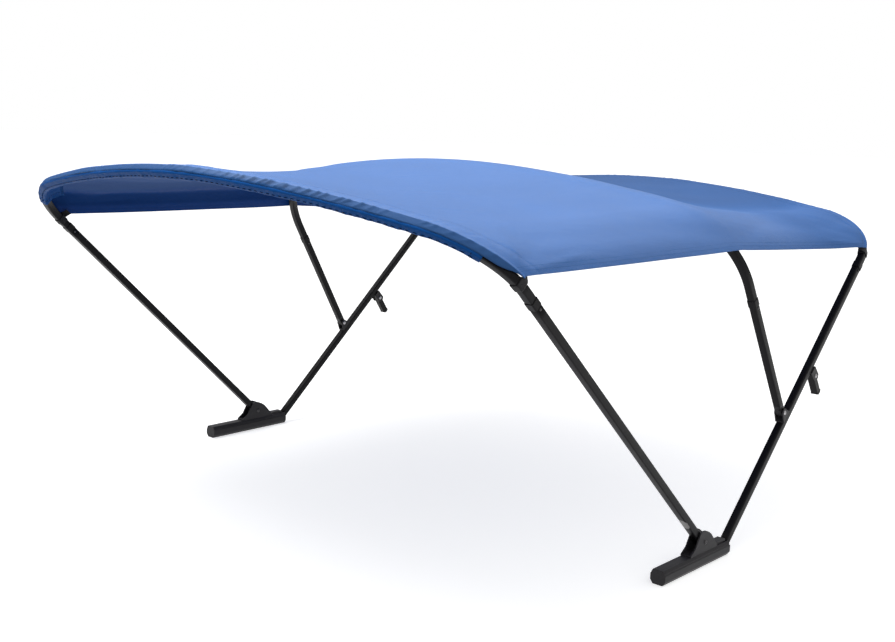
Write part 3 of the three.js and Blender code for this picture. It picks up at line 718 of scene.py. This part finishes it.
# Soft troughs and ridges, each with its place on the cloth's map, width and share of the fold depth.
# Pulls: distance from the side hem and along from the corner. Creases: both ends.
CORNER_PULLS = ((0.10, 0.52, 0.016, 0.8), (0.24, 0.46, 0.02, -0.7), (0.40, 0.40, 0.022, 0.75),
                (0.55, 0.24, 0.02, -0.5))
BAG_CREASES = (
    ((0.50, 0.50), (0.62, 0.86), 0.014, -0.45), ((0.18, 0.80), (0.26, 1.06), 0.012, 0.4),
    ((0.82, 0.30), (0.94, 0.62), 0.014, -0.45), ((-0.62, 0.40), (-0.50, 0.70), 0.015, -0.4),
    ((0.66, 1.62), (0.78, 1.96), 0.015, -0.45), ((-0.20, 1.90), (-0.08, 2.20), 0.015, 0.35),
    ((-0.85, 1.60), (-0.72, 1.98), 0.014, -0.4), ((-0.9, 0.8), (-0.82, 1.12), 0.013, 0.35),
)


def canopy_folds(uv, cloth):
    """How far each point of the canopy moves off its plain surface."""
    x, y = uv[..., 0], uv[..., 1]
    length, half = y[-1, 0], np.abs(x).max()
    depth = cloth.fold_depth
    turned = TURN_DOWN + 0.004
    rng = np.random.RandomState(cloth.seed)
    lift = crease_gathers(x, y - turned, True, rng, cloth.pucker_depth)
    lift += crease_gathers(x, length - turned - y, False, rng, cloth.pucker_depth)
    for sign in (-1, 1):
        from_hem = half - sign * x
        drift = 0.03 * uneven(cloth.seed + 20 + sign, y, 1.6, 4)
        lift -= 0.8 * depth * np.exp(-(((from_hem - 0.17 + drift) / 0.045) ** 2)) * smooth_step(y / 0.3)
        lift += 0.6 * depth * np.exp(-(((from_hem - 0.29 + drift) / 0.06) ** 2))
        lift -= 0.5 * depth * np.exp(-(((from_hem - 0.43 + drift * 1.5) / 0.07) ** 2))
        for corner, way in ((0.02, 1), (length - 0.02, -1)):
            for k, (over, along, width, share) in enumerate(CORNER_PULLS):
                start = (sign * (half - 0.05 - 0.02 * k), corner + way * (0.03 + 0.008 * k))
                end = (sign * (half - over), corner + way * along)
                lift += trough(x, y, start, end, width, depth * share)
    for start, end, width, share in BAG_CREASES:
        lift += trough(x, y, start, end, width, depth * share)
    lift += 0.0012 * uneven(cloth.seed + 30, x + 0.3 * y, 0.6, 5) * uneven(cloth.seed + 31, y, 0.8, 5)
    # Cloth stays off the tubes and keeps its edges
    past = np.minimum(y, length - y)
    quiet = np.where(past < turned, smooth_step((past + 0.004) / 0.008), smooth_step((past - turned) / 0.01))
    return np.where(past < turned, np.maximum(lift, 0), lift) * quiet


def canopy_painted_shading(canopy, grid, uv, from_side):
    """Painted shade and light on the outer and inner face: painted shade behind the middle bow and at the rear
    corners, painted light on the lit front hem and likewise on the rear one, and on the inner face a painted
    shade band near the side hems with painted light further in.
    """
    x, past = uv[..., 0], grid[..., 1] - canopy.ridge[:, 1]
    # Painted shade behind the middle bow, fading at the side hems; its edge lies further back towards the near
    # side
    behind = smooth_step((past - 0.03 - 0.10 * smooth_step((x - 0.1) / 0.8)) / 0.05)
    rear = (0.97 - 0.19 * smooth_step((x + 0.3) / 0.9)) * behind * (1 - smooth_step((np.abs(x) - 0.7) / 0.5))
    # Painted shade at the rear corners
    corner = 0.42 * smooth_step((past - 0.35) / 0.5) * smooth_step((np.abs(x) - 0.6) / 0.5)
    row = edge_rows(grid)
    # Painted light on the lit part of the turned hems, with a little more on the near side
    lit = smooth_step((row - 1.2) / 2.5) * np.exp(-(((x - 0.32) / 0.38) ** 2))
    plain = -0.15 * smooth_step((x - 0.4) / 0.3)
    outer = np.where(row < HEM_ROWS, plain + (-0.80 - plain) * lit, np.maximum(rear, corner))
    # Inner face: a painted shade band near the side hems, painted light further in
    inner = 0.5 * smooth_step((from_side - 0.03) / 0.03) * (1 - smooth_step((from_side - 0.12) / 0.05))
    inner -= 0.50 * smooth_step((from_side - 0.13) / 0.08) * (1 - smooth_step((from_side - 0.5) / 0.3))
    return np.concatenate([outer.ravel(), inner.ravel()])


def edge_rows(grid):
    """Number of each row of a grid, counted from the nearer of its two ends."""
    row = np.arange(len(grid))
    return np.minimum(row, len(grid) - 1 - row)[:, None]


def pocket_section():
    """Wrap of a pocket round its tube, as (back, out) in the bow's section, with rounded corners."""
    m, r = POCKET_OUT, CREASE_ROUND
    points = [(m - r - (2 * m - 2 * r) * k / 6, m + 0.0006) for k in range(6)]
    points += quarter(-m + r, m - r + 0.0003, r, 90, 6) + quarter(-m + r, -m + r, r, 180, 6)
    points += [(-m + r + (2 * m - r) * k / 5, -m - 0.0007 * k / 5) for k in range(1, 5)]
    return points + [(m + 0.0015, -m + 0.0012)]


def pocket_grid(letter, shares):
    """Middle points of a pocket, from under the canopy's turned hem round the tube to its seam."""
    canopy = Canopy(shares)
    columns, panel, first, way = (canopy.a, "AC", 0.0, 1) if letter == "A" else (canopy.b, "CB", 1.0, -1)
    under = 0.0021  # half of both sheets and the air between them

    def below(reach):
        t = first + way * reach / PANEL[panel]
        row, ahead = canopy.point(panel, t), canopy.point(panel, t + way * 0.01)
        normal = np.cross(np.gradient(row, axis=0), (ahead - row) * way)
        return row - normal / np.linalg.norm(normal, axis=1)[:, None] * under

    rows = [beside(columns, back, out, reach=0) for back, out in pocket_section()]
    start, end = rows[-1], below(POCKET_DEPTH)
    rows += [start + (end - start) * k / 7 for k in range(1, 7)]
    rows += [below(POCKET_DEPTH + POCKET_SEAM * k / 3) for k in range(4)]
    grid = np.stack(rows)
    return (grid[::-1] if letter == "A" else grid), columns


def ribbon(name, line, across, width, thickness, finish):
    """Flat webbing along a line, thinner at its two edges, with its own map in metres."""
    line = np.asarray(line)
    grid = line[:, None] + across * (np.linspace(-0.5, 0.5, 9) * width)[:, None]
    along = np.concatenate([[0], np.cumsum(np.linalg.norm(np.diff(line, axis=0), axis=1))])
    uv = np.stack(np.broadcast_arrays(np.linspace(0, width, 9)[None], along[:, None]), -1)
    lip = np.ones(9)
    lip[[0, -1]] = 0.55
    return closed_sheet(name, grid, thickness * lip[None], uv, finish)


# Stitches and fastener heads
def grown(name, points, edges, tree, values, facing=None):
    """The shapes that a tree sets along lines or at points, as one plain mesh."""
    mesh = bpy.data.meshes.new(name)
    mesh.from_pydata([tuple(p) for p in points], edges, [])
    if facing is not None:
        attribute = mesh.attributes.new("facing", "FLOAT_VECTOR", "POINT")
        attribute.data.foreach_set("vector", np.array(facing).ravel())
    obj = linked(name, mesh)
    modifier = obj.modifiers.new("Repeats", "NODES")
    modifier.node_group = tree.tree
    for label, value in values.items():
        modifier[tree.keys[label]] = value
    apply_modifiers(obj)
    smooth_faces(obj.data)
    return obj


def stitch_tree(name, finish):
    """Stitches along lines: one small rounded thread at each step, turned along the line."""
    g = GeometryTree(name, Spacing=0.006, Length=0.0042, Thread=0.0006)
    line = g.make("GeometryNodeMeshToCurve", "Curve", {"Mesh": g.entry["Geometry"]})
    line = g.make("GeometryNodeResampleCurve", "Curve", {"Curve": line, "Length": g.entry["Spacing"]},
                  mode="LENGTH")
    tangent = g.make("GeometryNodeInputTangent", "Tangent", {})
    bead = g.make("GeometryNodeMeshIcoSphere", "Mesh", {"Radius": 0.5, "Subdivisions": 1})
    return g.close(line, bead, "X", tangent, ("Length", "Thread", "Thread"), finish)


def stitched(name, lines, slot, tree, spacing, length, width):
    """The stitches of several lines as one piece on the frame."""
    points, edges = [], []
    for line in lines:
        first = len(points)
        points.extend(line)
        edges.extend((first + i, first + i + 1) for i in range(len(line) - 1))
    piece = grown(name, points, edges, tree, {"Spacing": spacing, "Length": length, "Thread": width})
    settle(piece, "frame", slot)


def head_tree(name, head, finish):
    """Fastener heads: one at each point, turned along the point's facing and scaled by its size."""
    g = GeometryTree(name, Radius=0.008, Height=0.0036)
    shape = g.make("GeometryNodeObjectInfo", "Geometry", {"Object": head})
    facing = g.make("GeometryNodeInputNamedAttribute", "Attribute", {"Name": "facing"},
                    data_type="FLOAT_VECTOR")
    points = g.make("GeometryNodeMeshToPoints", "Points", {"Mesh": g.entry["Geometry"]})
    return g.close(points, shape, "Z", facing, ("Radius", "Radius", "Height"), finish)


def turned_shape(name, profile, recess=None, sides=20):
    """A closed turned shape of unit radius; recess gives a six-sided socket."""
    angles = [2 * math.pi * k / sides for k in range(sides)]
    rings = [[(r * math.cos(a), r * math.sin(a), z) for a in angles] for r, z in profile]
    if recess:
        radius, floor, top = recess
        six = [radius * math.cos(math.pi / 6) / math.cos(a % (math.pi / 3) - math.pi / 6) for a in angles]
        rings += [[(r * math.cos(a), r * math.sin(a), z) for r, a in zip(six, angles)] for z in (top, floor)]
    obj = new_mesh(name, [point for ring in rings for point in ring], ring_faces(len(rings), sides))
    return obj


# Moulded pieces
def softened(node, name, edge, finish):
    """A copy of a node's solid with rounded edges."""
    mesh = bmesh.new()
    mesh.from_mesh(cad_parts[node].data)
    bmesh.ops.remove_doubles(mesh, verts=mesh.verts, dist=2e-5)
    flat = [e for e in mesh.edges if len(e.link_faces) == 2 and e.calc_face_angle(0) < math.radians(0.6)]
    bmesh.ops.dissolve_edges(mesh, edges=flat, use_verts=False)
    bmesh.ops.dissolve_limit(mesh, angle_limit=math.radians(0.5), verts=mesh.verts, edges=mesh.edges)
    data = bpy.data.meshes.new(name)
    mesh.to_mesh(data)
    mesh.free()
    data.materials.append(finish)
    smooth_faces(data)
    obj = linked(name, data)
    bevel = obj.modifiers.new("Edges", "BEVEL")
    bevel.width, bevel.segments, bevel.limit_method = edge, 3, "ANGLE"
    bevel.angle_limit = math.radians(28)
    bevel.harden_normals = False
    obj.modifiers.new("Normals", "WEIGHTED_NORMAL").keep_sharp = True
    return apply_modifiers(obj)


# Operators
class BIMINI_OT_camera(bpy.types.Operator):
    """Camera at the photograph's place and angle"""

    bl_idname = "bimini.camera"
    bl_label = "Camera"

    def execute(self, context):
        camera = bpy.data.objects.new("camera", bpy.data.cameras.new("camera"))
        camera.data.lens, camera.data.sensor_width = 48.385, 36
        right = Vector((0.741169, 0.670528, 0.032561))
        up = Vector((-0.139045, 0.105882, 0.984609))
        back = right.cross(up)
        turn = Matrix((right, up, back)).transposed().to_4x4()
        camera.matrix_world = Matrix.Translation((3.3771, -3.8432, 1.6119)) @ turn
        camera.data.clip_start, camera.data.clip_end = 0.05, 200
        context.scene.collection.objects.link(camera)
        context.scene.camera = camera
        return {"FINISHED"}


class BIMINI_OT_stage(bpy.types.Operator):
    """Pale floor, white surroundings and soft light from above"""

    bl_idname = "bimini.stage"
    bl_label = "Stage"

    def execute(self, context):
        stage = context.scene.bimini_stage
        context.scene.view_settings.view_transform = "Standard"
        ground = Nodes("floor")
        ground.set(Roughness=0.85, Specular_IOR_Level=0.1, Emission_Color=(1, 1, 1, 1),
                   Emission_Strength=stage.glow)
        cloud = ground.noise(ground.coordinates("Object"), 1.5, 2)
        tone = ground.mix(cloud, stage.floor, shade(stage.floor, 1.01))
        reach = 60
        corners = [(x * reach, y * reach, -0.0005) for x, y in ((-1, -1), (1, -1), (1, 1), (-1, 1))]
        floor = new_mesh("floor", corners, [(0, 1, 2, 3)], ground.finish(Base_Color=tone), smooth=False)
        floor.visible_diffuse = False
        white = Nodes("backdrop")
        white.set(Base_Color=(0, 0, 0, 1), Specular_IOR_Level=0, Emission_Color=(1, 1, 1, 1),
                  Emission_Strength=stage.backdrop)
        wall = turned_shape("backdrop", [(1, -0.4), (1, 1)], sides=48)
        wall.data.transform(Matrix.Scale(58, 4))
        wall.data.materials.append(white.material)
        wall.visible_diffuse = wall.visible_glossy = wall.visible_shadow = False
        world = bpy.data.worlds.new("surroundings")
        world.use_nodes = True
        sky = Tree(world.node_tree)
        height = sky.make("ShaderNodeSeparateXYZ", "Z", {
            "Vector": sky.make("ShaderNodeTexCoord", "Generated", {})})
        level = sky.make("ShaderNodeMapRange", "Result", {"Value": height, "From Min": -1.0})
        bands = sky.make("ShaderNodeValToRGB", "Color", {"Fac": level})
        stops = bands.node.color_ramp.elements
        for k, (place, value) in enumerate((
            (0.0, stage.bounce), (0.36, stage.bounce * 0.9), (0.46, stage.horizon), (0.56, stage.horizon),
            (0.70, stage.sky), (1.0, stage.sky * 0.9),
        )):
            stop = stops[k] if k < 2 else stops.new(place)
            stop.position, stop.color = place, (value, value, value, 1)
        world.node_tree.links.new(bands, world.node_tree.nodes["Background"].inputs["Color"])
        context.scene.world = world
        for name, place, size, power in (
            ("key_light", (-1.8, -1.6, 5.2), 3.6, stage.key),
            ("top_light", (0.0, 0.2, 5.2), 5.0, stage.top),
        ):
            lamp = linked(name, bpy.data.lights.new(name, "AREA"))
            lamp.data.shape, lamp.data.size, lamp.data.energy = "DISK", size, power
            lamp.location = place
            lamp.rotation_mode = "QUATERNION"
            lamp.rotation_quaternion = (Vector(place) - Vector((0, 0, 0.8))).to_track_quat("Z", "Y")
        return {"FINISHED"}


class BIMINI_OT_canopy(bpy.types.Operator):
    """Canopy cloth with its hems, folds and gathers"""

    bl_idname = "bimini.canopy"
    bl_label = "Canopy"

    def execute(self, context):
        cloth = context.scene.bimini_cloth
        outer = np.array(EDGE_SHARES)
        canopy = Canopy(np.concatenate([-outer[::-1], np.linspace(-0.955, 0.955, INNER_COLUMNS), outer]))
        grid = canopy.rows()
        uv = arc_map(grid, canopy.a)
        grid = grid + grid_normals(grid) * canopy_folds(uv, cloth)[..., None]
        from_side = np.abs(uv[..., 0]).max() - np.abs(uv[..., 0])
        hem = np.maximum(1 - smooth_step((from_side - cloth.hem_width) / 0.003),
                         (edge_rows(grid) < HEM_ROWS) * 0.5)
        thickness = cloth.thickness + (cloth.hem_thickness - cloth.thickness) * hem
        thickness[[0, -1]] = EDGE_THICKNESS
        piece = closed_sheet("canopy_cloth", grid, thickness, uv, material("canopy_weave"),
                             material("underside_weave"))
        wide = grid.shape[1] - 1
        starts = (0, (len(grid) - HEM_ROWS) * wide)
        # The turned hems' outer face takes the darker copy of the cloth, as painted shade
        repaint(piece.data, material("hem_weave"), [range(at, at + (HEM_ROWS - 1) * wide) for at in starts])
        # Painted shade and light, one value a point, read by the cloth's shader
        nap = piece.data.attributes.new("nap", "FLOAT", "POINT")
        nap.data.foreach_set("value", canopy_painted_shading(canopy, grid, uv, from_side).astype(np.float32))
        settle(piece, "frame", "canopy_cloth", "canopy")
        return {"FINISHED"}


class BIMINI_OT_pockets(bpy.types.Operator):
    """Front and rear pockets round the end bows"""

    bl_idname = "bimini.pockets"
    bl_label = "Pockets"

    def execute(self, context):
        seed = context.scene.bimini_cloth.seed
        for letter, end in (("A", "front"), ("B", "rear")):
            probe = bow_columns(letter, np.linspace(0, 1, 400), LIFT)
            limit = float(np.interp(POCKET_HALF, probe["x"], probe["share"]))
            grid, columns = pocket_grid(letter, np.linspace(-limit, limit, POCKET_COLUMNS))
            uv = arc_map(grid, columns)
            x, y = uv[..., 0], uv[..., 1]
            total = float(y.max())
            from_seam = y if letter == "A" else total - y
            face = smooth_step((from_seam - 0.075) / 0.02) * smooth_step((total - from_seam - 0.012) / 0.012)
            free = smooth_step((from_seam - 0.018) / 0.012) * (1 - smooth_step((from_seam - 0.055) / 0.012))
            wave = uneven(seed + 40, x + 0.2 * y, 0.075, 8)
            broad = uneven(seed + 41, x, 0.34, 5)
            lift = face * (0.0005 * wave + 0.0006 * broad) + free * (0.0016 * wave + 0.0012 * broad)
            lift += 0.0006 * uneven(seed + 42, x, 0.021, 6) * smooth_step(1 - from_seam / 0.02)
            lift = np.where(face > 0, np.maximum(lift, -0.0006), lift)
            grid = grid + grid_normals(grid) * lift[..., None]
            # The pockets take the darker copy of the cloth, as painted shade
            piece = closed_sheet(f"{end}_pocket_cloth", grid, 0.0010, uv, material("pocket_weave"))
            settle(piece, "frame", "pocket_cloth", f"pocket_{end}")
        return {"FINISHED"}


class BIMINI_OT_stitching(bpy.types.Operator):
    """Stitches along the pocket seams and the side hems"""

    bl_idname = "bimini.stitching"
    bl_label = "Stitching"

    def execute(self, context):
        cloth = context.scene.bimini_cloth
        blue = stitch_tree("stitches", material("blue_thread"))
        fine = (blue, cloth.stitch_pitch, cloth.stitch_length, 0.0008)
        size = INNER_COLUMNS + 2 * len(EDGE_SHARES)
        top, under = mesh_points(bpy.data.objects["canopy_cloth"].data).reshape(2, -1, size, 3)
        last = len(top) - 1
        seam = HEM_ROWS + 11  # row of the canopy above the pocket's seam
        seams = [top[k, 12:-12] for k in (seam, seam + 1, last - seam, last - seam - 1)]
        stitched("pocket_seam_stitches", seams + [under[last - seam, 12:-12]], "canopy_cloth", *fine)
        hems = [side[8:-8, k] for side in (top, under) for k in (4, size - 5)]
        hems += [top[8:-8, k] for k in (7, size - 8)]
        stitched("hem_stitches", hems, "canopy_cloth", *fine)
        # Large near-black stitches along the pocket seams, ends and outer corner: partly real stitching,
        # partly painted shadow of the puckers
        dark = stitch_tree("seam_stitches", material("seam_thread"))
        for end, way in (("front", 1), ("rear", -1)):
            points = mesh_points(bpy.data.objects[f"{end}_pocket_cloth"].data)
            # Rows counted from the seam
            faces = points.reshape(2, -1, POCKET_COLUMNS, 3)[:, ::way]
            lower = min(faces, key=lambda face: face[1:3, 2:-2, 2].mean())
            lines = list(lower[1:3, 2:-2][::way]) + [face[4:, k][::way] for face in faces for k in (3, -4)]
            corner = len(faces[0]) - 1 - POCKET_CORNER_ROW
            outer = min(faces, key=lambda face: face[corner, :, 1].mean() * way)
            line = outer[corner, 3:-3] * 0.70 + outer[corner + 1, 3:-3] * 0.30
            for name, rows, size in (("edge_stitches", [line], (0.0260, 0.0180, 0.0040)),
                                     ("stitches", lines, (0.0150, 0.0110, 0.0026))):
                stitched(f"{end}_pocket_{name}", rows, "pocket_cloth", dark, *size)
        return {"FINISHED"}


class BIMINI_OT_straps(bpy.types.Operator):
    """Black webbing straps at the canopy's corners, with their stitches"""

    bl_idname = "bimini.straps"
    bl_label = "Straps"

    @staticmethod
    def wrap(tail):
        """Line of a strap from its sewn tail round the tube, as (out, away) of the tube's middle."""
        m = TUBE / 2 + STRAP["air"] + STRAP["thick"] / 2
        r = 0.004
        line = [(-0.0072, tail * STRAP["tail"]), (0.0034, tail * 0.034), (m - 0.0025, tail * 0.0205),
                (m - 0.0004, tail * 0.0145), (m, tail * 0.006), (m, -tail * (m - r) * 0.6)]
        corners = [point for k, (x, away) in enumerate(((m - r, r - m), (r - m, r - m), (r - m, m - r)))
                   for point in quarter(x, tail * away, r, 90 * k, 5, -tail)]
        return line + corners[1:] + [(m - 2.2 * STRAP["thick"], tail * m)]

    def execute(self, context):
        tree = stitch_tree("strap_stitches", material("black_thread"))
        for letter in "AB":
            bow = BOWS[letter]
            up, square = plane_axes(bow)
            profile = half_profile(bow)
            tail = -bow["sewn"]
            for side, sign in SIDES.items():
                level = STRAP_AT[letter] + sign * HEM_SKEW / math.sin(tilt(bow))
                at = int(np.where((profile[:, 0] > SHOULDER) & (profile[:, 1] < level))[0][0])
                a, b = profile[at - 1], profile[at]
                x = a[0] + (b[0] - a[0]) * (a[1] - level) / (a[1] - b[1])
                along = (b - a) / np.linalg.norm(b - a)
                middle = to_part(bow, sign * x, level, 0.0)
                run = np.array([sign * along[0], 0, 0]) + along[1] * up
                outward = np.array([-sign * along[1], 0, 0]) + along[0] * up
                path = [middle + outward * out + square * away for out, away in self.wrap(tail)]
                piece = ribbon(f"strap_webbing_{letter}_{side}", path, run, STRAP["width"], STRAP["thick"],
                               material("black_webbing"))
                settle(piece, "frame", "webbing", f"strap_{letter}_{side}")
                rows = []
                for back in (0.003, 0.0075, 0.012):
                    place = (middle + outward * (0.0106 * back / 0.012 - 0.0082)
                             + square * tail * (STRAP["tail"] - back))
                    rows.append([place + run * w for w in (-0.009, 0.009)])
                stitched(f"strap_stitches_{letter}_{side}", rows, "webbing", tree, 0.0036, 0.003, 0.0007)
        return {"FINISHED"}


class BIMINI_OT_tubes(bpy.types.Operator):
    """Square tubes of the bows and legs with rounded corners"""

    bl_idname = "bimini.tubes"
    bl_label = "Tubes"

    def execute(self, context):
        settings = context.scene.bimini_frame
        section = rounded_square(TUBE, settings.corner)
        paint, worn = material("powder_coat"), material("worn_powder_coat")
        for letter, bow in BOWS.items():
            up, square = plane_axes(bow)
            profile = half_profile(bow)
            line = np.concatenate([profile[:0:-1] * [-1, 1], profile])
            step = np.gradient(line, axis=0)
            step /= np.linalg.norm(step, axis=1)[:, None]
            normal = -step[:, 1:] * np.array([1.0, 0, 0]) + step[:, :1] * up
            points = to_part(bow, line[:, 0], line[:, 1], 0.0)
            arch = swept(f"arch_tube_{letter}", points, square, normal, section, paint)
            settle(arch, "frame", "tube", f"arch_{letter}")
            for side, sign in SIDES.items():
                turn = sign * LEAN * math.sin(tilt(bow))
                foot = sign * leg_x(bow, 0.0)
                s = np.linspace(bow["start"], bow["joint"] - FIT_GAP, 24)
                points = to_part(bow, foot - s * math.sin(turn), s * math.cos(turn), 0.0)
                sideways = np.array([math.cos(turn), 0, 0]) + math.sin(turn) * up
                finish = worn if (letter, side) == ("A", "right") else paint
                leg = swept(f"leg_tube_{letter}_{side}", points, square, sideways, section, finish)
                settle(leg, "frame", "tube", f"leg_{letter}_{side}")
        for side in SIDES:
            stub = softened(f"stub_{side}", f"stub_tube_{side}", settings.edge, paint)
            settle(stub, f"stub_{side}", "tube", f"stub_{side}")
        return {"FINISHED"}


class BIMINI_OT_brackets(bpy.types.Operator):
    """Rails, brackets, plugs and collars with rounded edges"""

    bl_idname = "bimini.brackets"
    bl_label = "Brackets"

    def execute(self, context):
        edge = context.scene.bimini_frame.edge
        nylon, dark, paint = material("bracket_nylon"), material("plug_nylon"), material("powder_coat")
        for side in SIDES:
            for node, finish, slot, size in (
                ("rail", nylon, "bracket", 1.4), ("ear", nylon, "bracket", 1),
                ("clevis", nylon, "bracket", 0.7), ("eye", dark, "plug", 0.8),
                ("stub_bracket", nylon, "bracket", 0.7), ("stub_plug", dark, "plug", 1),
                *((f"collar_{letter}", paint, "plug", 0.6) for letter in BOWS),
            ):
                piece = softened(f"{node}_{side}", f"{node}_moulding_{side}", edge * size, finish)
                body = f"stub_{side}" if node == "stub_plug" else "frame"
                settle(piece, body, slot, f"{node}_{side}")
        return {"FINISHED"}


# Half sections of the heads, from the rim to the top
BOLT_DOME = ((1.0, 0.0), (1.06, 0.1), (1.04, 0.22), (0.97, 0.34), (0.86, 0.62), (0.68, 0.86), (0.45, 0.98),
             (0.42, 1.0))
RIVET_DOME = ((1.0, 0.0), (1.0, 0.18), (0.86, 0.55), (0.6, 0.86), (0.3, 0.98), (0.05, 1.0))


class BIMINI_OT_fasteners(bpy.types.Operator):
    """Pivot bolts and rivets: a head at each end of each"""

    bl_idname = "bimini.fasteners"
    bl_label = "Fasteners"

    def execute(self, context):
        steel, dark = material("bolt_steel"), material("dark_steel")
        bolt = turned_shape("bolt_head_shape", BOLT_DOME, recess=(0.36, 0.35, 1.0), sides=24)
        rivet = turned_shape("rivet_head_shape", RIVET_DOME)
        for kind, head, radius, height, finish, nodes in (
            ("bolts", bolt, 0.0082, 0.0039, steel, ("clevis_bolt", "stub_bolt")),
            ("ear_bolts", bolt, 0.0082, 0.0039, dark, ("ear_bolt",)),
            ("rivets", rivet, 0.0050, 0.0024, dark, ("rivet_A", "rivet_B", "rivet_C")),
        ):
            names = [f"{node}_{side}" for node in nodes for side in SIDES]
            points, facing = [], []
            for name in names:
                co = mesh_points(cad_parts[name].data)
                low, high = co[co[:, 0].argmin()], co[co[:, 0].argmax()]
                axis = (high - low) / np.linalg.norm(high - low)
                points += [low + axis * height, high - axis * height]
                facing += [-axis, axis]
            obj = grown(f"{kind}_heads", points, [], head_tree(kind, head, finish),
                        {"Radius": radius, "Height": height}, facing)
            settle(obj, "frame", "bolt", *names)
        for head in (bolt, rivet):
            bpy.data.objects.remove(head)
        return {"FINISHED"}


class BIMINI_PT_panel(bpy.types.Panel):
    """Sizes, colours and steps"""

    bl_label = "Bimini top"
    bl_idname = "BIMINI_PT_panel"
    bl_space_type = "VIEW_3D"
    bl_region_type = "UI"
    bl_category = "Bimini"

    def draw(self, context):
        layout = self.layout
        for group in (context.scene.bimini_cloth, context.scene.bimini_frame, context.scene.bimini_stage):
            for key in group.__annotations__:
                layout.prop(group, key)
        for operator in STEPS:
            layout.operator(operator.bl_idname)


STEPS = (BIMINI_OT_camera, BIMINI_OT_stage, BIMINI_OT_canopy, BIMINI_OT_pockets, BIMINI_OT_stitching,
         BIMINI_OT_straps, BIMINI_OT_tubes, BIMINI_OT_brackets, BIMINI_OT_fasteners)
CLASSES = (ClothSettings, FrameSettings, StageSettings) + STEPS + (BIMINI_PT_panel,)


def register():
    for kind in CLASSES:
        bpy.utils.register_class(kind)
    bpy.types.Scene.bimini_cloth = PointerProperty(type=ClothSettings)
    bpy.types.Scene.bimini_frame = PointerProperty(type=FrameSettings)
    bpy.types.Scene.bimini_stage = PointerProperty(type=StageSettings)


def unregister():
    del bpy.types.Scene.bimini_cloth, bpy.types.Scene.bimini_frame, bpy.types.Scene.bimini_stage
    for kind in reversed(CLASSES):
        bpy.utils.unregister_class(kind)


def main():
    register()
    for step in STEPS:
        area, name = step.bl_idname.split(".")
        getattr(getattr(bpy.ops, area), name)()


if __name__ == "__main__":
    main()
